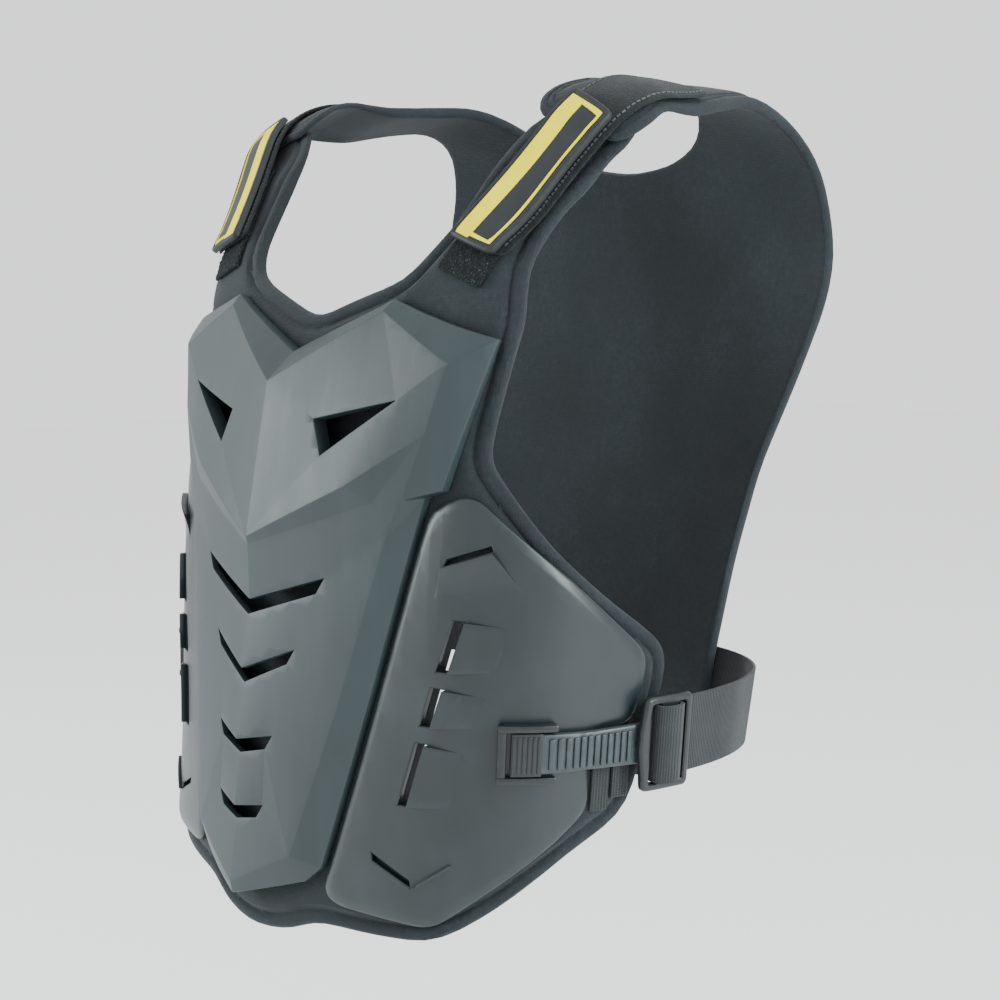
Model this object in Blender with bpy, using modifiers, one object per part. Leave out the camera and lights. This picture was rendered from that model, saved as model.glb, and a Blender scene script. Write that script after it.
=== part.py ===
"""Motocross chest protector in its worn form.

Metres, +Z up. The wearer faces -Y and +X is the wearer's left. The origin lies midway between the two
shoulder straps, level with the tops of the shoulders. Every panel is drawn flat in pattern space, with u
across from the centre line, t along the body (level with z on the chest, then up over the shoulder and
down the back) and w outwards from the body. It is then bent onto the torso form, as foam is over a last.
"""
import math

import bmesh
import bpy
import numpy as np
from mathutils import Vector

# Torso form: the side profile runs from the shoulder top forwards and down the chest, and backwards down
# the back. A run's rows are shares of its length with the heading at each end, 0 level and 90 straight down.
TOP_HEIGHT = 0.004
CHEST_RUN = 0.174
CHEST_ROWS = (
    # share, heading in, heading out
    (0.069, 0, 0),
    (0.287, 0, 55),
    (0.437, 55, 57),
    (0.207, 57, 82),
)
BACK_RUN = 0.206
BACK_ROWS = (
    (0.272, 0, 4),
    (0.388, 4, 80),
    (0.340, 80, 100),
)
# Torso form: each level section is a broad bow, a tight flank arc and a side arc.
CHEST_BOW, BELLY_BOW, BACK_BOW = 0.520, 0.260, 0.900
BOW_HALF, STRAP_BOW_HALF, BACK_BOW_HALF = 0.110, 0.136, 0.152
FLANK_RADIUS, BELLY_FLANK_RADIUS, BACK_FLANK_RADIUS = 0.058, 0.070, 0.075
SIDE_RADIUS = 0.230
FLANK_TURN = 72
BELLY_FROM, BELLY_TO = 0.200, 0.430
# Torso form: places where the bow begins to widen under the shoulder straps and has done so, and distances
# before and behind the shoulder top between which it takes the back's shape
SADDLE_FROM, SADDLE_TO = -0.085, -0.010
REAR_FROM, REAR_TO = 0.010, 0.110
# Along the body, how far the sections start to turn before the shoulder's bends and stay level behind its top
LEAD, SETTLE = 0.020, 0.030

# Foam panels
FOAM = 0.008
PRESS = 0.55            # share of the foam's thickness left where the panels overlap on the shoulder
HALF = 0.229            # centre line to wing tip, along the surface
DROP = 0.438            # chest line to lower hem
WELT = 0.007            # pressed border, falling to a groove
GROOVE = 0.003          # from the groove up to the full thickness
WELT_HEIGHT = 0.0066
GROOVE_HEIGHT = 0.0048
BACK_HALF = 0.162       # centre line to shoulder wing, along the surface
BACK_DROP = 0.536       # chest line over the shoulder to the back's lower hem
LAP_END = 0.042         # where the back panel leaves the front panel it lies on
LAP_RAMP = 0.034        # length over which it comes down to the body
LOBE_START = -0.002     # front ends of the back panel's lobes
CLIMB = 0.016           # length over which the tab climbs onto them
PRESS_RAMP = 0.032      # length over which the front panel thins before them
GAP = 0.0008            # between touching pieces

# Chest plate
PLATE_WALL = 0.0025
PLATE_HALF = 0.130
PLATE_TOP = 0.110       # chest line to the plate's peaks
PLATE_DROP = 0.310      # peaks to the lower edge
PLATE_RISE = 0.0232     # crest of the ridge above the lowest rim
SLOT_HEIGHT = 0.0085    # uppermost chevron slot

# Side plates
SIDE_WALL = 0.0032
SIDE_EDGE = 0.0018      # height of the rim before the chamfer
SIDE_CHAMFER = 0.004
SEAM = 0.0025           # between the chest plate and a side plate
GRILLE_SETBACK = 0.029  # seam edge to the column of side slots
GRILLE_WIDTH = 0.0065

# Shoulder closure
HOOK_PAD = 0.0018
TAB = 0.0015
BADGE_SEAT = TAB + 1.5 * GAP    # above the tab's underside
TAB_WIDTH = 0.034
BADGE = 0.0035
BADGE_WIDTH, BADGE_LENGTH = 0.028, 0.099
BADGE_EDGE = 0.0012
PAD_LEAD, PAD_LENGTH = 0.014, 0.076     # the hook pad starts this far below the badge
TAB_START = 0.002       # front end of the tab, behind the badge's

# Side straps
STRAP_LEVEL = -0.735 * DROP     # height of the strap's middle
STRAP_START = 0.642 * HALF      # front end of the ladder strap, inside its catch
CATCH_LENGTH, CATCH_HEIGHT, CATCH_RISE = 0.023, 0.029, 0.0056
CATCH_FLOOR = 0.0012
CATCH_CORNER, CATCH_EDGE = 0.0025, 0.001
LADDER_HEIGHT, LADDER_WALL, RIB_RISE = 0.0205, 0.0026, 0.0010
LADDER_BORDER, LADDER_TIP = 0.0028, 0.003
RIBS = 12
RIB_PITCH = 0.0034
RIB_CLEAR = 0.001       # last rib to the buckle
BUCKLE_START = 0.8886 * HALF
LADDER_END = BUCKLE_START + 0.0065
BUCKLE_WIDTH, BUCKLE_HEIGHT, BUCKLE_WALL = 0.029, 0.0475, 0.004
LEFT_BAR, RIGHT_BAR, END_BAR, CENTRE_BAR = 0.006, 0.0035, 0.0038, 0.0095
BUCKLE_CORNER, BUCKLE_KINK, BUCKLE_BEVEL = 0.003, 0.0022, 0.0012
ELASTIC_HEIGHT, ELASTIC = 0.0385, 0.0018
ELASTIC_SEAT = 0.012    # length sewn to the back panel, beside the back plate
TAPE, TAPE_WIDTH = 0.0012, 0.0095
TAPE_PLACE = 0.8122 * HALF      # front edge of the front tape, just outside the side plate
TAPE_LOW = -0.812 * DROP        # lower end of the front tape
TAPE_STEP = 0.0108
TAPE_TUCK = 0.003       # upper ends, behind the ladder strap's middle

# Back plate
BACK_PLATE_WALL = 0.003
BACK_PLATE_STEP = 0.0025
BACK_PLATE_BORDER = 0.012

# Bending: how far a flat stretch between two cuts may lie off the form, and the longest such stretch
SAG, LONG_STEP = 0.0006, 0.055

PLATE_SEAT = FOAM + GAP
SIDE_TOP = PLATE_SEAT + SIDE_WALL
CATCH_SEAT = SIDE_TOP + GAP
LADDER_SEAT = CATCH_SEAT + CATCH_FLOOR + GAP
BUCKLE_SEAT = LADDER_SEAT + LADDER_WALL + GAP
TAB_SEAT = FOAM + GAP + HOOK_PAD + GAP

# Front panel outline, right half seen from inside: neck, strap, armhole, wing, hem. Shares of HALF and DROP.
FRONT_OUTLINE = (
    # across, down
    (0.000, 0.274), (0.262, 0.231), (0.310, 0.213), (0.349, 0.178), (0.367, 0.142), (0.392, 0.064),
    (0.415, 0.007), (0.486, -0.040), (0.682, -0.061), (0.696, -0.024), (0.664, 0.017), (0.643, 0.064),
    (0.604, 0.107), (0.582, 0.175), (0.597, 0.231), (0.605, 0.267), (0.585, 0.322), (0.563, 0.395),
    (0.564, 0.420), (0.590, 0.441), (0.716, 0.521), (0.838, 0.575), (0.943, 0.614), (0.985, 0.633),
    (1.000, 0.664), (0.913, 0.822), (0.760, 0.868), (0.624, 0.925), (0.515, 0.962), (0.393, 0.966),
    (0.212, 0.968), (0.120, 0.990), (0.000, 1.000),
)
# Back panel outline: shoulder lobes, shoulder wing, side, hem, neck. Shares of BACK_HALF and BACK_DROP.
BACK_OUTLINE = (
    # across, along
    (0.000, 0.352), (0.216, 0.343), (0.383, 0.319), (0.494, 0.276), (0.568, 0.222), (0.617, 0.165),
    (0.634, 0.110), (0.625, 0.066), (0.600, 0.045), (0.604, 0.023), (0.660, 0.006), (0.755, 0.012),
    (0.914, 0.004), (0.969, 0.013), (0.995, 0.034), (0.995, 0.056), (0.966, 0.079), (0.960, 0.106),
    (0.935, 0.151), (0.878, 0.211), (0.864, 0.261), (0.895, 0.299), (0.935, 0.332), (0.978, 0.388),
    (1.000, 0.440), (0.969, 0.494), (0.889, 0.560), (0.765, 0.650), (0.700, 0.746), (0.660, 0.858),
    (0.655, 0.930), (0.600, 0.974), (0.400, 0.994), (0.000, 1.000),
)
# Back plate outline, inside the back panel. Shares of BACK_HALF and BACK_DROP.
BACK_PLATE_OUTLINE = (
    # across, along
    (0.000, 0.410), (0.340, 0.396), (0.617, 0.414), (0.790, 0.450), (0.802, 0.500), (0.720, 0.570),
    (0.610, 0.660), (0.556, 0.770), (0.549, 0.880), (0.537, 0.946), (0.500, 0.960), (0.320, 0.972),
    (0.000, 0.978),
)
# Chest plate corners, one half. Shares of PLATE_HALF, of PLATE_DROP below the peaks and of PLATE_RISE.
PLATE_CORNERS = {
    # name: across, down, rise
    "notch": (0.000, 0.092, 0.25), "apex": (0.000, 0.144, 0.85), "crease": (0.000, 0.402, 1.00),
    "step": (0.000, 0.414, 0.93), "peak": (0.531, 0.000, 0.07), "peak_in": (0.515, 0.018, 0.27),
    "corner": (1.000, 0.055, 0.10), "corner_in": (0.877, 0.097, 0.48), "waist_in": (0.815, 0.206, 0.48),
    "waist": (0.869, 0.290, 0.16), "brow": (0.492, 0.298, 0.76), "brow_low": (0.600, 0.319, 0.52),
    "vent_top": (0.277, 0.198, 0.70), "vent_low": (0.338, 0.255, 0.72), "vent_tip": (0.677, 0.158, 0.57),
    "hip": (0.792, 0.303, 0.10), "hip_in": (0.731, 0.310, 0.42), "rib_in": (0.669, 0.368, 0.40),
    "belly_in": (0.496, 0.639, 0.40), "foot_in": (0.308, 0.906, 0.40), "foot_side": (0.427, 0.916, 0.10),
    "foot": (0.354, 0.945, 0.10), "chin_in": (0.000, 0.980, 0.48), "chin": (0.000, 1.000, 0.40),
}
# Chevron slots, top to bottom. Shares of PLATE_HALF, of PLATE_DROP below the peaks, of PLATE_RISE at the
# ridge above and below the slot and at its outer end, and of SLOT_HEIGHT.
CHEVRONS = (
    # span, outer down, ridge down, rise above, rise below, outer rise, height
    (0.395, 0.447, 0.505, 0.740, 0.730, 0.55, 1.00),
    (0.264, 0.571, 0.620, 0.763, 0.647, 0.55, 0.94),
    (0.177, 0.719, 0.739, 0.716, 0.565, 0.53, 0.90),
    (0.146, 0.837, 0.851, 0.586, 0.487, 0.45, 0.86),
)
# Side plate outline from the lower end of the seam, outwards and round to its top. Shares of HALF and DROP.
SIDE_OUTLINE = (
    # across, down
    (0.275, 0.938), (0.515, 0.943), (0.745, 0.838), (0.808, 0.806), (0.797, 0.768), (0.800, 0.722),
    (0.897, 0.713), (0.912, 0.690), (0.928, 0.655),
    (0.917, 0.632), (0.590, 0.478), (0.566, 0.466), (0.538, 0.461), (0.508, 0.464), (0.480, 0.473),
)
# Side slots, each a stretch down the seam. Shares of DROP.
GRILLE = (
    # top, bottom
    (0.594, 0.652),
    (0.671, 0.715),
    (0.735, 0.808),
)
# Shoulder closure: middle line and places along it. Shares of HALF and of DROP, above the chest line.
CLOSURE_LINE = (
    # across, along
    (0.448, -0.228), (0.600, 0.026), (0.604, 0.060), (0.596, 0.110), (0.576, 0.180),
)
BADGE_FROM = -0.1925
TAB_TO = 0.175
COLOURS = {
    # name: sRGB, roughness
    "foam": ((0.235, 0.245, 0.250), 0.90),
    "plate": ((0.420, 0.455, 0.460), 0.42),
    "side_plate": ((0.290, 0.310, 0.315), 0.35),
    "ladder": ((0.370, 0.405, 0.415), 0.40),
    "buckle": ((0.220, 0.230, 0.235), 0.38),
    "webbing": ((0.250, 0.265, 0.270), 0.85),
    "rubber": ((0.300, 0.320, 0.320), 0.60),
    "hook": ((0.120, 0.125, 0.130), 0.95),
}


def smooth(x, a, b):
    """0 below a, 1 above b and an even curve between"""
    f = np.clip((x - a) / (b - a), 0, 1)
    return f * f * (3 - 2 * f)


def walk(run, rows, direction):
    """Points (length, y, z) along a profile run from the shoulder top"""
    y, z, length = 0.0, TOP_HEIGHT, 0.0
    points = [(length, y, z)]
    steps = 40
    for share, heading_in, heading_out in rows:
        step = share * run / steps
        for i in range(steps):
            heading = math.radians(heading_in + (heading_out - heading_in) * (i + 0.5) / steps)
            y += direction * math.cos(heading) * step
            z -= math.sin(heading) * step
            length += step
            points.append((length, y, z))
    return np.array(points)


CHEST_PATH = walk(CHEST_RUN, CHEST_ROWS, -1)
BACK_PATH = walk(BACK_RUN, BACK_ROWS, 1)
CHEST_LINE = CHEST_PATH[-1, 2]
SHOULDER_LINE = CHEST_LINE + CHEST_PATH[-1, 0]
BLADE_LINE = SHOULDER_LINE + BACK_PATH[-1, 0]
CHEST_SLOPE = 1 / math.tan(math.radians(CHEST_ROWS[-1][2]))
BACK_SLOPE = 1 / math.tan(math.radians(BACK_ROWS[-1][2]))


def profile(t):
    """y, z and the direction in which the sections fall away, for places t along the body"""
    over = SHOULDER_LINE - t
    y = np.where(over > 0, np.interp(over, CHEST_PATH[:, 0], CHEST_PATH[:, 1]),
                 np.interp(-over, BACK_PATH[:, 0], BACK_PATH[:, 1]))
    z = np.where(over > 0, np.interp(over, CHEST_PATH[:, 0], CHEST_PATH[:, 2]),
                 np.interp(-over, BACK_PATH[:, 0], BACK_PATH[:, 2]))
    below = np.clip(CHEST_LINE - t, 0, None)
    behind = np.clip(t - BLADE_LINE, 0, None)
    y = y - below * CHEST_SLOPE + behind * BACK_SLOPE
    z = z - below - behind
    quarter = math.pi / 2
    turn = quarter * smooth(t, CHEST_LINE - LEAD, SHOULDER_LINE - LEAD / 4)
    turn = turn + quarter * smooth(t, SHOULDER_LINE + SETTLE, BLADE_LINE + LEAD / 2)
    return y, z, turn


def section(u, t):
    """Place across and fall of the section at a distance u from the centre line"""
    belly = smooth(-t, BELLY_FROM, BELLY_TO)
    rear = smooth(t, SHOULDER_LINE - REAR_FROM, SHOULDER_LINE + REAR_TO)
    saddle = smooth(t, SADDLE_FROM, SADDLE_TO)
    bow = 1 / (1 / CHEST_BOW + (1 / BELLY_BOW - 1 / CHEST_BOW) * belly + (1 / BACK_BOW - 1 / CHEST_BOW) * rear)
    half = BOW_HALF + (STRAP_BOW_HALF - BOW_HALF) * saddle + (BACK_BOW_HALF - STRAP_BOW_HALF) * rear
    flank = FLANK_RADIUS + (BELLY_FLANK_RADIUS - FLANK_RADIUS) * belly
    flank = flank + (BACK_FLANK_RADIUS - FLANK_RADIUS) * rear
    side_turn = math.radians(FLANK_TURN)
    turn = half / bow
    reach = half + flank * (side_turn - turn)
    a = np.abs(u)
    bow_angle = np.minimum(a, half) / bow
    flank_angle = turn + (np.clip(a, half, reach) - half) / flank
    side_angle = side_turn + (np.maximum(a, reach) - reach) / SIDE_RADIUS
    x = bow * np.sin(bow_angle) + flank * (np.sin(flank_angle) - np.sin(turn))
    x = x + SIDE_RADIUS * (np.sin(side_angle) - math.sin(side_turn))
    fall = bow * (1 - np.cos(bow_angle)) + flank * (np.cos(turn) - np.cos(flank_angle))
    fall = fall + SIDE_RADIUS * (math.cos(side_turn) - np.cos(side_angle))
    return np.sign(u) * x, fall


def surface(u, t):
    """Points of the torso form"""
    y, z, turn = profile(t)
    x, fall = section(u, t)
    return np.stack([x, y + fall * np.cos(turn), z - fall * np.sin(turn)], -1)


def offset(base, u, t, w):
    """Points a height w outside a surface given by base(u, t)"""
    h = 0.0005
    across = base(u + h, t) - base(u - h, t)
    along = base(u, t + h) - base(u, t - h)
    normal = np.cross(across, along)
    normal /= np.linalg.norm(normal, axis=-1, keepdims=True)
    return base(u, t) + normal * w[..., None]


def on_body(u, t, w):
    return offset(surface, u, t, w)


def back_place(z):
    """Place t on the back wall at the height z"""
    return BLADE_LINE + BACK_PATH[-1, 2] - z


FLANK_START = BUCKLE_START + BUCKLE_WIDTH + 0.004
FLANK_SPAN = 0.175
SEAT_IN = 0.549 * BACK_HALF + 0.003


def flank_surface(u, t):
    """The way of the elastic strap: on the front form, round the flank in one curve, onto the back form"""
    h = 0.0005
    on_front = surface(np.minimum(u, FLANK_START), t)
    share = np.clip((u - FLANK_START) / FLANK_SPAN, 0, 1)[..., None]
    start = surface(np.full_like(u, FLANK_START), t)
    lead_in = (start - surface(np.full_like(u, FLANK_START - h), t)) / h
    back_t = back_place(start[..., 2])
    edge = np.full_like(u, SEAT_IN + ELASTIC_SEAT)
    end = surface(edge, back_t)
    lead_out = (surface(edge - h, back_t) - end) / h
    reach = np.linalg.norm(end - start, axis=-1, keepdims=True) * 0.42
    a, b, c, d = start, start + lead_in * reach, end - lead_out * reach, end
    keep = 1 - share
    curve = a * keep**3 + 3 * b * keep**2 * share + 3 * c * keep * share**2 + d * share**3
    past = np.clip(u - FLANK_START - FLANK_SPAN, 0, None)
    on_back = surface(edge - past, back_t)
    u, past = u[..., None], past[..., None]
    return np.where(u <= FLANK_START, on_front, np.where(past > 0, on_back, curve))


def on_flank(u, t, w):
    return offset(flank_surface, u, t, w)


def front_press(t):
    """Share of its thickness that the front panel keeps: its strap ends are pressed thin"""
    return 1 - (1 - PRESS) * smooth(t, LOBE_START - PRESS_RAMP, LOBE_START)


def back_press(t):
    """Share of its thickness that the back panel keeps: its lobes are pressed thin"""
    return PRESS + (1 - PRESS) * smooth(t, LAP_END, LAP_END + LAP_RAMP)


def lap(t):
    """Height of the back panel's underside: on the front panel at the shoulder, on the body behind it"""
    return (FOAM * PRESS + GAP) * (1 - smooth(t, LAP_END, LAP_END + LAP_RAMP))


def on_chest(u, t, w):
    return on_body(u, t, w * front_press(t))


def on_strap(u, t, w):
    """Heights from the upper side of the front panel"""
    return on_body(u, t, w + FOAM * front_press(t) + GAP)


def lapped(u, t, w):
    return on_body(u, t, w * back_press(t) + lap(t))


def even_places(start, length, radius):
    """Places that split a stretch of one radius into even steps, its far end included"""
    count = math.ceil(length / min(LONG_STEP, math.sqrt(8 * radius * SAG)))
    return [start + length * (i + 1) / count for i in range(count)]


def run_places(run, rows):
    places = [0.0]
    for share, heading_in, heading_out in rows:
        turn = max(math.radians(heading_out - heading_in), 0.01)
        places += even_places(places[-1], share * run, share * run / turn)
    return places


def along_places():
    """Shared cuts across the body: up the chest, over the shoulder and down the back"""
    places = [CHEST_LINE - (i + 1) * LONG_STEP for i in range(8)]
    places += [BLADE_LINE + LEAD / 2, BLADE_LINE + 3 * LONG_STEP]
    places += [SHOULDER_LINE - place for place in run_places(CHEST_RUN, CHEST_ROWS)]
    places += [SHOULDER_LINE + place for place in run_places(BACK_RUN, BACK_ROWS)]
    places += [LOBE_START - PRESS_RAMP]
    places += [LAP_END + LAP_RAMP * share for share in (0, 0.3, 0.7, 1)]
    places += [LOBE_START - CLIMB, LOBE_START]
    return sorted(places)


def across_places():
    """Shared cuts along the body: few on the broad bow, close together on the flank"""
    flank = FLANK_RADIUS * (math.radians(FLANK_TURN) - BOW_HALF / CHEST_BOW)
    places = [0.0] + even_places(0.0, BOW_HALF, CHEST_BOW)
    places += even_places(places[-1], flank, FLANK_RADIUS)
    places += even_places(places[-1], HALF - places[-1], SIDE_RADIUS)
    return sorted({round(side * place, 7) for place in places for side in (-1, 1)})


def cut_all(bm, normal, places):
    for place in places:
        bmesh.ops.bisect_plane(bm, geom=bm.verts[:] + bm.edges[:] + bm.faces[:], dist=1e-6,
                               plane_co=Vector(normal) * place, plane_no=normal)


ACROSS_CUTS = across_places()
ALONG_CUTS = along_places()


def bend(bm, form, mirrored=False):
    """Cuts a flat pattern solid where the form bends and lays it on the form"""
    bmesh.ops.connect_verts_concave(bm, faces=bm.faces[:])
    lows = [min(v.co[i] for v in bm.verts) for i in (0, 1)]
    highs = [max(v.co[i] for v in bm.verts) for i in (0, 1)]
    margin = 0.0015
    across = [u for u in ACROSS_CUTS if lows[0] + margin < u < highs[0] - margin]
    along = [t for t in ALONG_CUTS if lows[1] + margin < t < highs[1] - margin]
    cut_all(bm, (1, 0, 0), across)
    cut_all(bm, (0, 1, 0), along)
    places = np.array([v.co[:] for v in bm.verts])
    bent = form(places[:, 0], places[:, 1], places[:, 2])
    side = -1 if mirrored else 1
    for vert, (x, y, z) in zip(bm.verts, bent):
        vert.co = (side * x, y, z)
    bmesh.ops.remove_doubles(bm, verts=bm.verts[:], dist=2e-5)
    bmesh.ops.triangulate(bm, faces=bm.faces[:])
    bmesh.ops.recalc_face_normals(bm, faces=bm.faces[:])
    return bm


def signed_area(points):
    return sum(a[0] * b[1] - b[0] * a[1] for a, b in zip(points, points[1:] + points[:1])) / 2


def inset(points, distance):
    """The outline moved inwards by an even distance, less the short edges that this would turn over"""
    turn = 1 if signed_area(points) > 0 else -1
    points = [Vector(point) for point in points]
    while True:
        moved = []
        for before, here, after in zip(points[-1:] + points[:-1], points, points[1:] + points[:1]):
            first, second = here - before, after - here
            normals = [Vector((-edge.y, edge.x)).normalized() * turn for edge in (first, second)]
            mitre = (normals[0] + normals[1]) / max(1 + normals[0].dot(normals[1]), 0.3)
            moved.append(here + mitre * distance)
        count = len(points)
        turned = [i for i in range(count)
                  if (moved[(i + 1) % count] - moved[i]).dot(points[(i + 1) % count] - points[i]) <= 0]
        if not turned:
            return [tuple(point) for point in moved]
        first = turned[0]
        second = (first + 1) % count
        points[first] = (points[first] + points[second]) / 2
        del points[second]


def both_halves(half):
    """Closes a half outline that starts and ends on the centre line with its mirror image"""
    return list(half) + [(-u, t) for u, t in reversed(half[1:-1])]


def panel(loops, holes, seat):
    """A flat solid from nested outlines, outermost first, each with the height of its upper side"""
    bm = bmesh.new()
    lift = bm.verts.layers.float.new("lift")
    rings = []
    for points, height in list(loops) + list(holes):
        ring = [bm.verts.new((u, t, seat)) for u, t in points]
        for vert in ring:
            vert[lift] = height
        rings.append([bm.edges.new(pair) for pair in zip(ring, ring[1:] + ring[:1])])
    for outer, inner in zip(rings[:len(loops) - 1], rings[1:len(loops)]):
        bmesh.ops.triangle_fill(bm, edges=outer + inner, use_beauty=True)
    inside = [edge for ring in rings[len(loops) - 1:] for edge in ring]
    bmesh.ops.triangle_fill(bm, edges=inside, use_beauty=True)
    raised = bmesh.ops.extrude_face_region(bm, geom=bm.faces[:])["geom"]
    for vert in raised:
        if isinstance(vert, bmesh.types.BMVert):
            vert.co.z = vert[lift]
    bmesh.ops.dissolve_limit(bm, angle_limit=0.0005, verts=bm.verts[:], edges=bm.edges[:])
    bmesh.ops.recalc_face_normals(bm, faces=bm.faces[:])
    return bm


def extrusion(outline, low, high):
    """A bar whose section is an outline in u and w, from the place low to the place high along t"""
    bm = bmesh.new()
    face = bm.faces.new([bm.verts.new((u, low, w)) for u, w in outline])
    raised = bmesh.ops.extrude_face_region(bm, geom=[face])["geom"]
    for vert in raised:
        if isinstance(vert, bmesh.types.BMVert):
            vert.co.y = high
    bmesh.ops.recalc_face_normals(bm, faces=bm.faces[:])
    return bm


def block(u0, u1, t0, t1, w0, w1):
    return extrusion([(u0, w0), (u1, w0), (u1, w1), (u0, w1)], t0, t1)


def combine(bm, operation, others):
    """Boolean of a pattern solid with others, kept flat"""
    helpers = []
    for index, source in enumerate([bm] + others):
        mesh = bpy.data.meshes.new("pattern")
        source.to_mesh(mesh)
        source.free()
        helper = bpy.data.objects.new("pattern_%d" % index, mesh)
        CUTTERS.objects.link(helper)
        helper.hide_render = True
        helper.display_type = "WIRE"
        helpers.append(helper)
    for other in helpers[1:]:
        modifier = helpers[0].modifiers.new("join", "BOOLEAN")
        modifier.operation = operation
        modifier.object = other
        modifier.solver = "EXACT"
    result = bmesh.new()
    depsgraph = bpy.context.evaluated_depsgraph_get()
    result.from_mesh(bpy.data.meshes.new_from_object(helpers[0].evaluated_get(depsgraph)))
    for helper in helpers:
        bpy.data.objects.remove(helper)
    bmesh.ops.remove_doubles(result, verts=result.verts[:], dist=1e-6)
    return result


def solidify(bm, thickness):
    """A wall of even thickness on the inner side of an open surface"""
    mesh = bpy.data.meshes.new("shell")
    bm.to_mesh(mesh)
    bm.free()
    helper = bpy.data.objects.new("shell", mesh)
    CUTTERS.objects.link(helper)
    modifier = helper.modifiers.new("wall", "SOLIDIFY")
    modifier.thickness = thickness
    modifier.offset = -1
    modifier.use_even_offset = True
    modifier.use_quality_normals = True
    result = bmesh.new()
    depsgraph = bpy.context.evaluated_depsgraph_get()
    result.from_mesh(bpy.data.meshes.new_from_object(helper.evaluated_get(depsgraph)))
    bpy.data.objects.remove(helper)
    return result


def material(kind):
    found = bpy.data.materials.get(kind)
    if found:
        return found
    colour, roughness = COLOURS[kind]
    made = bpy.data.materials.new(kind)
    made.use_nodes = True
    shader = made.node_tree.nodes["Principled BSDF"]
    shader.inputs["Base Color"].default_value = (*[c**2.2 for c in colour], 1)
    shader.inputs["Roughness"].default_value = roughness
    shader.inputs["Metallic"].default_value = 0
    return made


def add_part(name, bm, kind):
    mesh = bpy.data.meshes.new(name)
    bm.to_mesh(mesh)
    bm.free()
    part = bpy.data.objects.new(name, mesh)
    part.data.materials.append(material(kind))
    PARTS.objects.link(part)
    part.parent = ROOT
    return part


def front_points(rows):
    return [(across * HALF, -down * DROP) for across, down in rows]


def back_points(rows):
    return [(across * BACK_HALF, along * BACK_DROP) for across, along in rows]


def plate_point(name):
    across, down, rise = PLATE_CORNERS[name]
    return (across * PLATE_HALF, -PLATE_TOP - down * PLATE_DROP,
            PLATE_SEAT + PLATE_WALL + rise * PLATE_RISE)


def seam_edge(t):
    """Inner edge of the side plate: the chest plate's side edge and the seam"""
    top, low = plate_point("hip"), plate_point("foot_side")
    share = (t - top[1]) / (low[1] - top[1])
    return top[0] + (low[0] - top[0]) * share + SEAM


def grille_slot(top_share, low_share, spread=0.0):
    """A side slot that runs parallel to the seam"""
    top, low = -top_share * DROP + spread, -low_share * DROP - spread
    near, far = GRILLE_SETBACK - spread, GRILLE_SETBACK + GRILLE_WIDTH + spread
    return [(seam_edge(top) + near, top), (seam_edge(low) + near, low),
            (seam_edge(low) + far, low), (seam_edge(top) + far, top)]


def front_foam():
    """Moulded foam panel with a pressed border, and openings behind the side slots"""
    outline = both_halves(front_points(FRONT_OUTLINE))
    loops = [(outline, WELT_HEIGHT), (inset(outline, WELT), GROOVE_HEIGHT),
             (inset(outline, WELT + GROOVE), FOAM)]
    holes = []
    for top, low in GRILLE:
        slot = grille_slot(top, low, spread=0.001)
        holes.append((slot, FOAM))
        holes.append(([(-u, t) for u, t in slot], FOAM))
    add_part("front_foam", bend(panel(loops, holes, 0.0), on_chest), "foam")


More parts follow.
